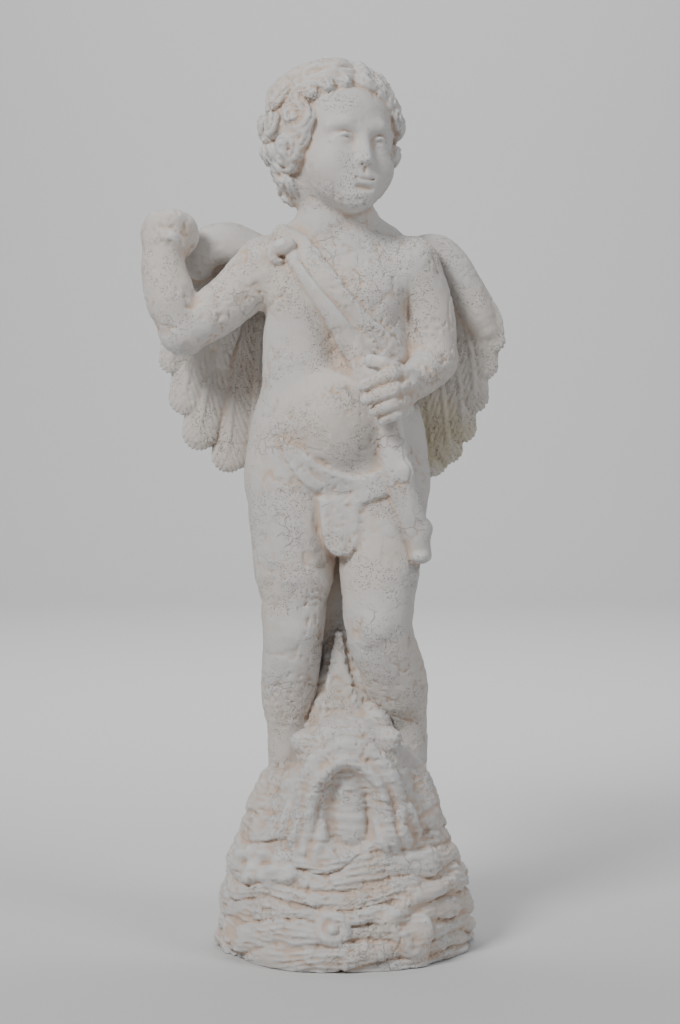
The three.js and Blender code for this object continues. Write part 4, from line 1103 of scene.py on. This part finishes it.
def mesh_piece(name, clay, triangles, base=None, roughness=1.0, layered=0.0, calm=None):
    """The clay's skin as an object with hollow, deep and calm attributes, thinned to a number of
    triangles. calm is a place and a distance within which the stone's skin is worn less."""
    points, squares = skin(clay)
    slope = np.stack([clay.sample(clay.field, points + clay.cell * np.eye(3)[k])
                      - clay.sample(clay.field, points - clay.cell * np.eye(3)[k]) for k in range(3)], 1)
    outward = slope / np.maximum(np.linalg.norm(slope, axis=1, keepdims=True), 1e-6)
    still = np.zeros(len(points))
    if calm is not None:
        centre, distance = calm
        still = 1 - step_between(np.linalg.norm(points - centre, axis=1), distance * 0.7, distance)
    worn = weathering(points, roughness, layered) * (1 - 0.8 * still)
    points = points + outward * worn[:, None]
    if base is not None:
        points[:, 2] = np.maximum(points[:, 2], base)
    near = clay.sample(softened(clay.field, max(1, round(HOLLOW_REACH / clay.cell))), points)
    wide = clay.sample(softened(clay.field, max(2, round(DEEP_REACH / clay.cell))), points)
    mesh = bpy.data.meshes.new(name)
    mesh.vertices.add(len(points))
    mesh.vertices.foreach_set("co", (points * MM).astype(np.float32).ravel())
    mesh.loops.add(squares.size)
    mesh.loops.foreach_set("vertex_index", squares.ravel().astype(np.int32))
    mesh.polygons.add(len(squares))
    mesh.polygons.foreach_set("loop_start", np.arange(0, squares.size, 4, dtype=np.int32))
    mesh.polygons.foreach_set("use_smooth", np.ones(len(squares), bool))
    mesh.update(calc_edges=True)
    for label, values in (("hollow", near), ("deep", wide), ("calm", still)):
        attribute = mesh.attributes.new(label, "FLOAT", "POINT")
        attribute.data.foreach_set("value", values.astype(np.float32))
    piece = bpy.data.objects.new(name, mesh)
    bpy.context.scene.collection.objects.link(piece)
    if 2 * len(squares) > triangles:
        thin = piece.modifiers.new("thin", "DECIMATE")
        thin.ratio = triangles / (2 * len(squares))
        graph = bpy.context.evaluated_depsgraph_get()
        piece.data = bpy.data.meshes.new_from_object(piece.evaluated_get(graph))
        piece.modifiers.clear()
    print(name, "has", len(piece.data.polygons), "faces from", len(squares), "squares")
    return piece


print("hollows are looked for within", HOLLOW_REACH, "and", DEEP_REACH, "mm")

# %% [markdown]
# ## The four pieces
#
# The casting is one solid, and these four meshes stand for it together. They meet inside the stone, so no
# seam shows. The figure and the rock get the most triangles, and the rock gets the deepest wear.

# %% Make the pieces
statue = [
    mesh_piece("figure", figure_clay, 190000, calm=(on_figure(in_head([0, -50, -14])), 64)),
    mesh_piece("left_wing", left_wing_clay, 120000, roughness=0.5),
    mesh_piece("right_wing", right_wing_clay, 120000, roughness=0.5),
    mesh_piece("rock_and_fish", rock_clay, 190000, base=0.0, roughness=1.2, layered=2.2),
]
for piece in statue:
    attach(piece, "root")
    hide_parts("cupid_statue")
print("the statue is", len(statue), "pieces")

# %% [markdown]
# ## The finish
#
# Cast stone is matt and nearly white. Air bubbles leave small pits, and the skin shows hairline cracks.
# Warm dust and painted shade darken the hollows, and the raised places are made paler and cooler.

# %% Nodes that the finish is made of
def node(tree, kind, values=(), **settings):
    """A node with its settings and the values of its inputs."""
    made = tree.nodes.new(kind)
    for key, value in settings.items():
        setattr(made, key, value)
    for key, value in dict(values).items():
        made.inputs[key].default_value = value
    return made


def ramp(tree, value, low, high, bottom=0.0, top=1.0):
    """The value moved from low..high to bottom..top, held at the ends."""
    limits = {"From Min": low, "From Max": high, "To Min": bottom, "To Max": top}
    made = node(tree, "ShaderNodeMapRange", limits)
    made.interpolation_type = "SMOOTHSTEP"
    tree.links.new(value, made.inputs["Value"])
    return made.outputs["Result"]


def sums(tree, operation, a, b):
    """One sum of two numbers, each a value or the output of a node."""
    made = node(tree, "ShaderNodeMath", operation=operation)
    for socket, value in zip(made.inputs, (a, b)):
        if isinstance(value, (int, float)):
            socket.default_value = value
        else:
            tree.links.new(value, socket)
    return made.outputs[0]


def blend(tree, factor, a, b):
    """A colour between a and b."""
    made = node(tree, "ShaderNodeMix", data_type="RGBA")
    for name, value in (("Factor", factor), ("A", a), ("B", b)):
        socket = next(s for s in made.inputs if s.name == name and (name == "Factor" or s.type == "RGBA"))
        if isinstance(value, (tuple, int, float)):
            socket.default_value = (*value, 1) if isinstance(value, tuple) else value
        else:
            tree.links.new(value, socket)
    return next(s for s in made.outputs if s.type == "RGBA")


def speckle(tree, place, scale, detail=2.0, rough=0.5):
    """Noise of so many blobs per metre."""
    made = node(tree, "ShaderNodeTexNoise", {"Scale": scale, "Detail": detail, "Roughness": rough})
    tree.links.new(place, made.inputs["Vector"])
    return made.outputs["Fac"]


# %% [markdown]
# ## Pits and cracks
#
# One group of nodes makes the marks that are finer than the mesh. Pits are the middles of Voronoi cells,
# kept only in patches. Cracks are the edges between larger cells, after the place is shaken by a noise,
# and kept only where another noise is high. Its outputs are two masks and a height for a Bump node.

# %% The group of marks
def marks_group():
    group = bpy.data.node_groups.new("stone_marks", "ShaderNodeTree")
    group.interface.new_socket("Place", in_out="INPUT", socket_type="NodeSocketVector")
    group.interface.new_socket("Calm", in_out="INPUT", socket_type="NodeSocketFloat")
    for name in ("Pits", "Cracks", "Height"):
        group.interface.new_socket(name, in_out="OUTPUT", socket_type="NodeSocketFloat")
    enter = group.nodes.new("NodeGroupInput")
    leave = group.nodes.new("NodeGroupOutput")
    place = enter.outputs["Place"]
    patch = ramp(group, speckle(group, place, 26, 3), 0.45, 0.6)
    masks = []
    for scale, edge in ((470, 0.36), (210, 0.24)):
        cells = node(group, "ShaderNodeTexVoronoi", {"Scale": scale})
        group.links.new(place, cells.inputs["Vector"])
        masks.append(ramp(group, cells.outputs["Distance"], edge, edge * 0.35))
    pits = sums(group, "MULTIPLY", sums(group, "MAXIMUM", *masks), patch)
    noise = node(group, "ShaderNodeTexNoise", {"Scale": 60.0, "Detail": 3.0})
    group.links.new(place, noise.inputs["Vector"])
    shake = node(group, "ShaderNodeVectorMath", operation="SCALE")
    shake.inputs["Scale"].default_value = 0.02
    group.links.new(noise.outputs["Color"], shake.inputs[0])
    shaken = node(group, "ShaderNodeVectorMath", operation="ADD")
    group.links.new(place, shaken.inputs[0])
    group.links.new(shake.outputs[0], shaken.inputs[1])
    plates = node(group, "ShaderNodeTexVoronoi", {"Scale": 62.0}, feature="DISTANCE_TO_EDGE")
    group.links.new(shaken.outputs[0], plates.inputs["Vector"])
    torn = ramp(group, speckle(group, place, 23, 3), 0.56, 0.68)
    lively = ramp(group, enter.outputs["Calm"], 0.0, 0.6, 1.0, 0.0)
    open_cracks = sums(group, "MULTIPLY", ramp(group, plates.outputs["Distance"], 0.05, 0.012), torn)
    cracks = sums(group, "MULTIPLY", open_cracks, lively)
    grain = speckle(group, place, 420, 5, 0.7)
    sunk = sums(group, "ADD", sums(group, "MULTIPLY", pits, 0.9), sums(group, "MULTIPLY", cracks, 0.7))
    height = sums(group, "SUBTRACT", sums(group, "MULTIPLY", grain, 0.55), sunk)
    group.links.new(pits, leave.inputs["Pits"])
    group.links.new(cracks, leave.inputs["Cracks"])
    group.links.new(height, leave.inputs["Height"])
    return group


stone_marks = marks_group()
print("the group of marks has", len(stone_marks.nodes), "nodes")

# %% [markdown]
# ## Cast stone
#
# The colour is laid in steps, as a painter glazes: an off-white with wide faint tints, paler where stone
# is raised, warm dust and painted shade in hollows, warmer and darker towards the back, a stain on the
# lowest feathers, and dark marks last.

# %% Cast stone
# The colour of warm dust and painted shade that darkens the hollows.
DUST_AND_SHADE = (0.66, 0.52, 0.42)
STAIN = (0.60, 0.54, 0.36)
STAINED_FEATHER = (0.092, 0.05, 0.50)


def cast_stone():
    material = bpy.data.materials.new("cast_stone")
    material.use_nodes = True
    tree = material.node_tree
    shader = tree.nodes["Principled BSDF"]
    shader.inputs["Specular IOR Level"].default_value = 0.22
    place = node(tree, "ShaderNodeTexCoord").outputs["Object"]
    marks = node(tree, "ShaderNodeGroup", node_tree=stone_marks)
    tree.links.new(place, marks.inputs["Place"])
    calm = node(tree, "ShaderNodeAttribute", attribute_name="calm").outputs["Fac"]
    tree.links.new(calm, marks.inputs["Calm"])
    hollow = node(tree, "ShaderNodeAttribute", attribute_name="hollow").outputs["Fac"]
    deep = node(tree, "ShaderNodeAttribute", attribute_name="deep").outputs["Fac"]
    raised = ramp(tree, hollow, 0.47, 0.36)
    # Warm dust and painted shade: hollow darkens small hollows within about 4 mm, and deep lays painted
    # shade in wide hollows and between parts within about 16 mm.
    dust_and_shade = ramp(tree, hollow, 0.53, 0.68)
    sheltered_shade = ramp(tree, deep, 0.5, 0.78)
    tint = ramp(tree, speckle(tree, place, 9, 3), 0.42, 0.68)
    colour = blend(tree, sums(tree, "MULTIPLY", tint, 0.55), (0.665, 0.645, 0.625), (0.70, 0.615, 0.54))
    colour = blend(tree, sums(tree, "MULTIPLY", raised, 0.8), colour, (0.72, 0.72, 0.72))
    hollow_dust_and_shade = sums(tree, "MAXIMUM", sums(tree, "MULTIPLY", dust_and_shade, 0.85), sums(tree, "MULTIPLY", sheltered_shade, 0.6))
    colour = blend(tree, hollow_dust_and_shade, colour, DUST_AND_SHADE)
    # Towards the back, away from the camera, the colour is made warmer and darker.
    depth = node(tree, "ShaderNodeSeparateXYZ")
    tree.links.new(place, depth.inputs[0])
    colour = blend(tree, ramp(tree, depth.outputs["Y"], 0.01, 0.06, 0.0, 0.4), colour, (0.69, 0.60, 0.51))
    # A yellow-green stain on the lowest feathers of the left wing.
    near = node(tree, "ShaderNodeVectorMath", {1: STAINED_FEATHER}, operation="DISTANCE")
    tree.links.new(place, near.inputs[0])
    around = ramp(tree, near.outputs["Value"], 0.075, 0.02)
    stain = sums(tree, "MULTIPLY", around, ramp(tree, speckle(tree, place, 30, 3), 0.35, 0.6))
    colour = blend(tree, sums(tree, "MULTIPLY", stain, 0.6), colour, STAIN)
    pits = sums(tree, "MULTIPLY", marks.outputs["Pits"], 0.5)
    cracks = sums(tree, "MULTIPLY", marks.outputs["Cracks"], 0.4)
    dark = sums(tree, "MAXIMUM", pits, cracks)
    colour = blend(tree, dark, colour, (0.46, 0.40, 0.35))
    tree.links.new(colour, shader.inputs["Base Color"])
    tree.links.new(ramp(tree, speckle(tree, place, 55, 3), 0.3, 0.7, 0.78, 0.95), shader.inputs["Roughness"])
    bump = node(tree, "ShaderNodeBump", {"Strength": 0.9, "Distance": 0.0011})
    tree.links.new(marks.outputs["Height"], bump.inputs["Height"])
    tree.links.new(bump.outputs["Normal"], shader.inputs["Normal"])
    return material


stone = cast_stone()
for piece in statue:
    piece.data.materials.append(stone)
print("the stone's finish has", len(stone.node_tree.nodes), "nodes")

# %% [markdown]
# ## Floor
#
# A pale floor that turns up into a wall behind the statue, so that there is no line at the horizon.

# %% Lay the floor
def sweep(width, near, far, radius, height, steps=24):
    """A floor that turns up into a wall: a profile of a flat run, a quarter circle and a straight rise,
    carried sideways over the width."""
    turn = np.linspace(0, np.pi / 2, steps)
    y = np.concatenate([[near], far + radius * np.sin(turn), [far + radius]])
    z = np.concatenate([[0], radius * (1 - np.cos(turn)), [height]])
    x = np.array([-width / 2, width / 2])
    points = np.stack([np.repeat(x, len(y)), np.tile(y, 2), np.tile(z, 2)], 1)
    n = np.arange(len(y) - 1)
    faces = np.stack([n, n + len(y), n + len(y) + 1, n + 1], 1)
    mesh = bpy.data.meshes.new("floor")
    mesh.from_pydata(points.tolist(), [], faces.tolist())
    mesh.polygons.foreach_set("use_smooth", np.ones(len(faces), bool))
    made = bpy.data.objects.new("floor", mesh)
    bpy.context.scene.collection.objects.link(made)
    return made


floor = sweep(24.0, -8.0, 3.4, 1.6, 7.0)
floor_material = bpy.data.materials.new("pale_floor")
floor_material.use_nodes = True
floor_paint = floor_material.node_tree.nodes["Principled BSDF"]
floor_paint.inputs["Base Color"].default_value = (0.66, 0.66, 0.66, 1)
floor_paint.inputs["Roughness"].default_value = 0.9
floor.data.materials.append(floor_material)
print("the floor has", len(floor.data.polygons), "faces")

# %% [markdown]
# ## Light
#
# One soft lamp from the upper left gives the forms their shade, a weaker one from the right opens the
# shadows, and a wide one behind the statue lights only the wall. The world adds a little everywhere.

# %% Set the lamps
def soft_light(name, place, target, size, power, colour):
    """A square lamp that faces a target."""
    lamp = bpy.data.lights.new(name, "AREA")
    lamp.size = size
    lamp.energy = power
    lamp.color = colour
    holder = bpy.data.objects.new(name, lamp)
    holder.location = place
    holder.rotation_mode = "QUATERNION"
    holder.rotation_quaternion = (Vector(target) - Vector(place)).to_track_quat("-Z", "Y")
    bpy.context.scene.collection.objects.link(holder)


soft_light("key", (-1.3, -1.7, 2.1), (0, 0, 0.45), 0.7, 56, (1.0, 0.99, 0.98))
soft_light("second", (1.6, -1.1, 1.9), (0, 0, 0.45), 0.7, 15, (0.98, 0.99, 1.0))
soft_light("wall", (0, 1.0, 3.2), (0, 5.0, 1.2), 2.5, 170, (1.0, 1.0, 1.0))
world = bpy.data.worlds.new("studio")
bpy.context.scene.world = world
world.use_nodes = True
world.node_tree.nodes["Background"].inputs["Color"].default_value = (0.8, 0.82, 0.85, 1)
world.node_tree.nodes["Background"].inputs["Strength"].default_value = 0.13
print("the lamps give", sum(lamp.energy for lamp in bpy.data.lights), "watts")

# %% [markdown]
# ## Camera
#
# The camera stands 2 m away, far enough that the statue keeps its proportions. At that distance its lens
# makes a millimetre at the statue's axis one pixel of the picture. It looks a little down, because the
# horizon lies 112 pixels above the picture's middle.

# %% Place the camera
PICTURE_HEIGHT = 1024
SENSOR = 36.0
DISTANCE = 2.0
HORIZON = 112
eye = bpy.data.cameras.new("camera")
eye.lens = SENSOR * DISTANCE / MM / PICTURE_HEIGHT
camera = bpy.data.objects.new("camera", eye)
camera.location = (-0.004, -DISTANCE, 0.548)
camera.rotation_euler = (math.radians(90) - math.atan(HORIZON * MM / DISTANCE), 0, 0)
bpy.context.scene.collection.objects.link(camera)
bpy.context.scene.camera = camera
print("the lens is", round(eye.lens, 1), "mm")

# %% [markdown]
# ## Finish

# %% Finish
bpy.context.view_layer.update()
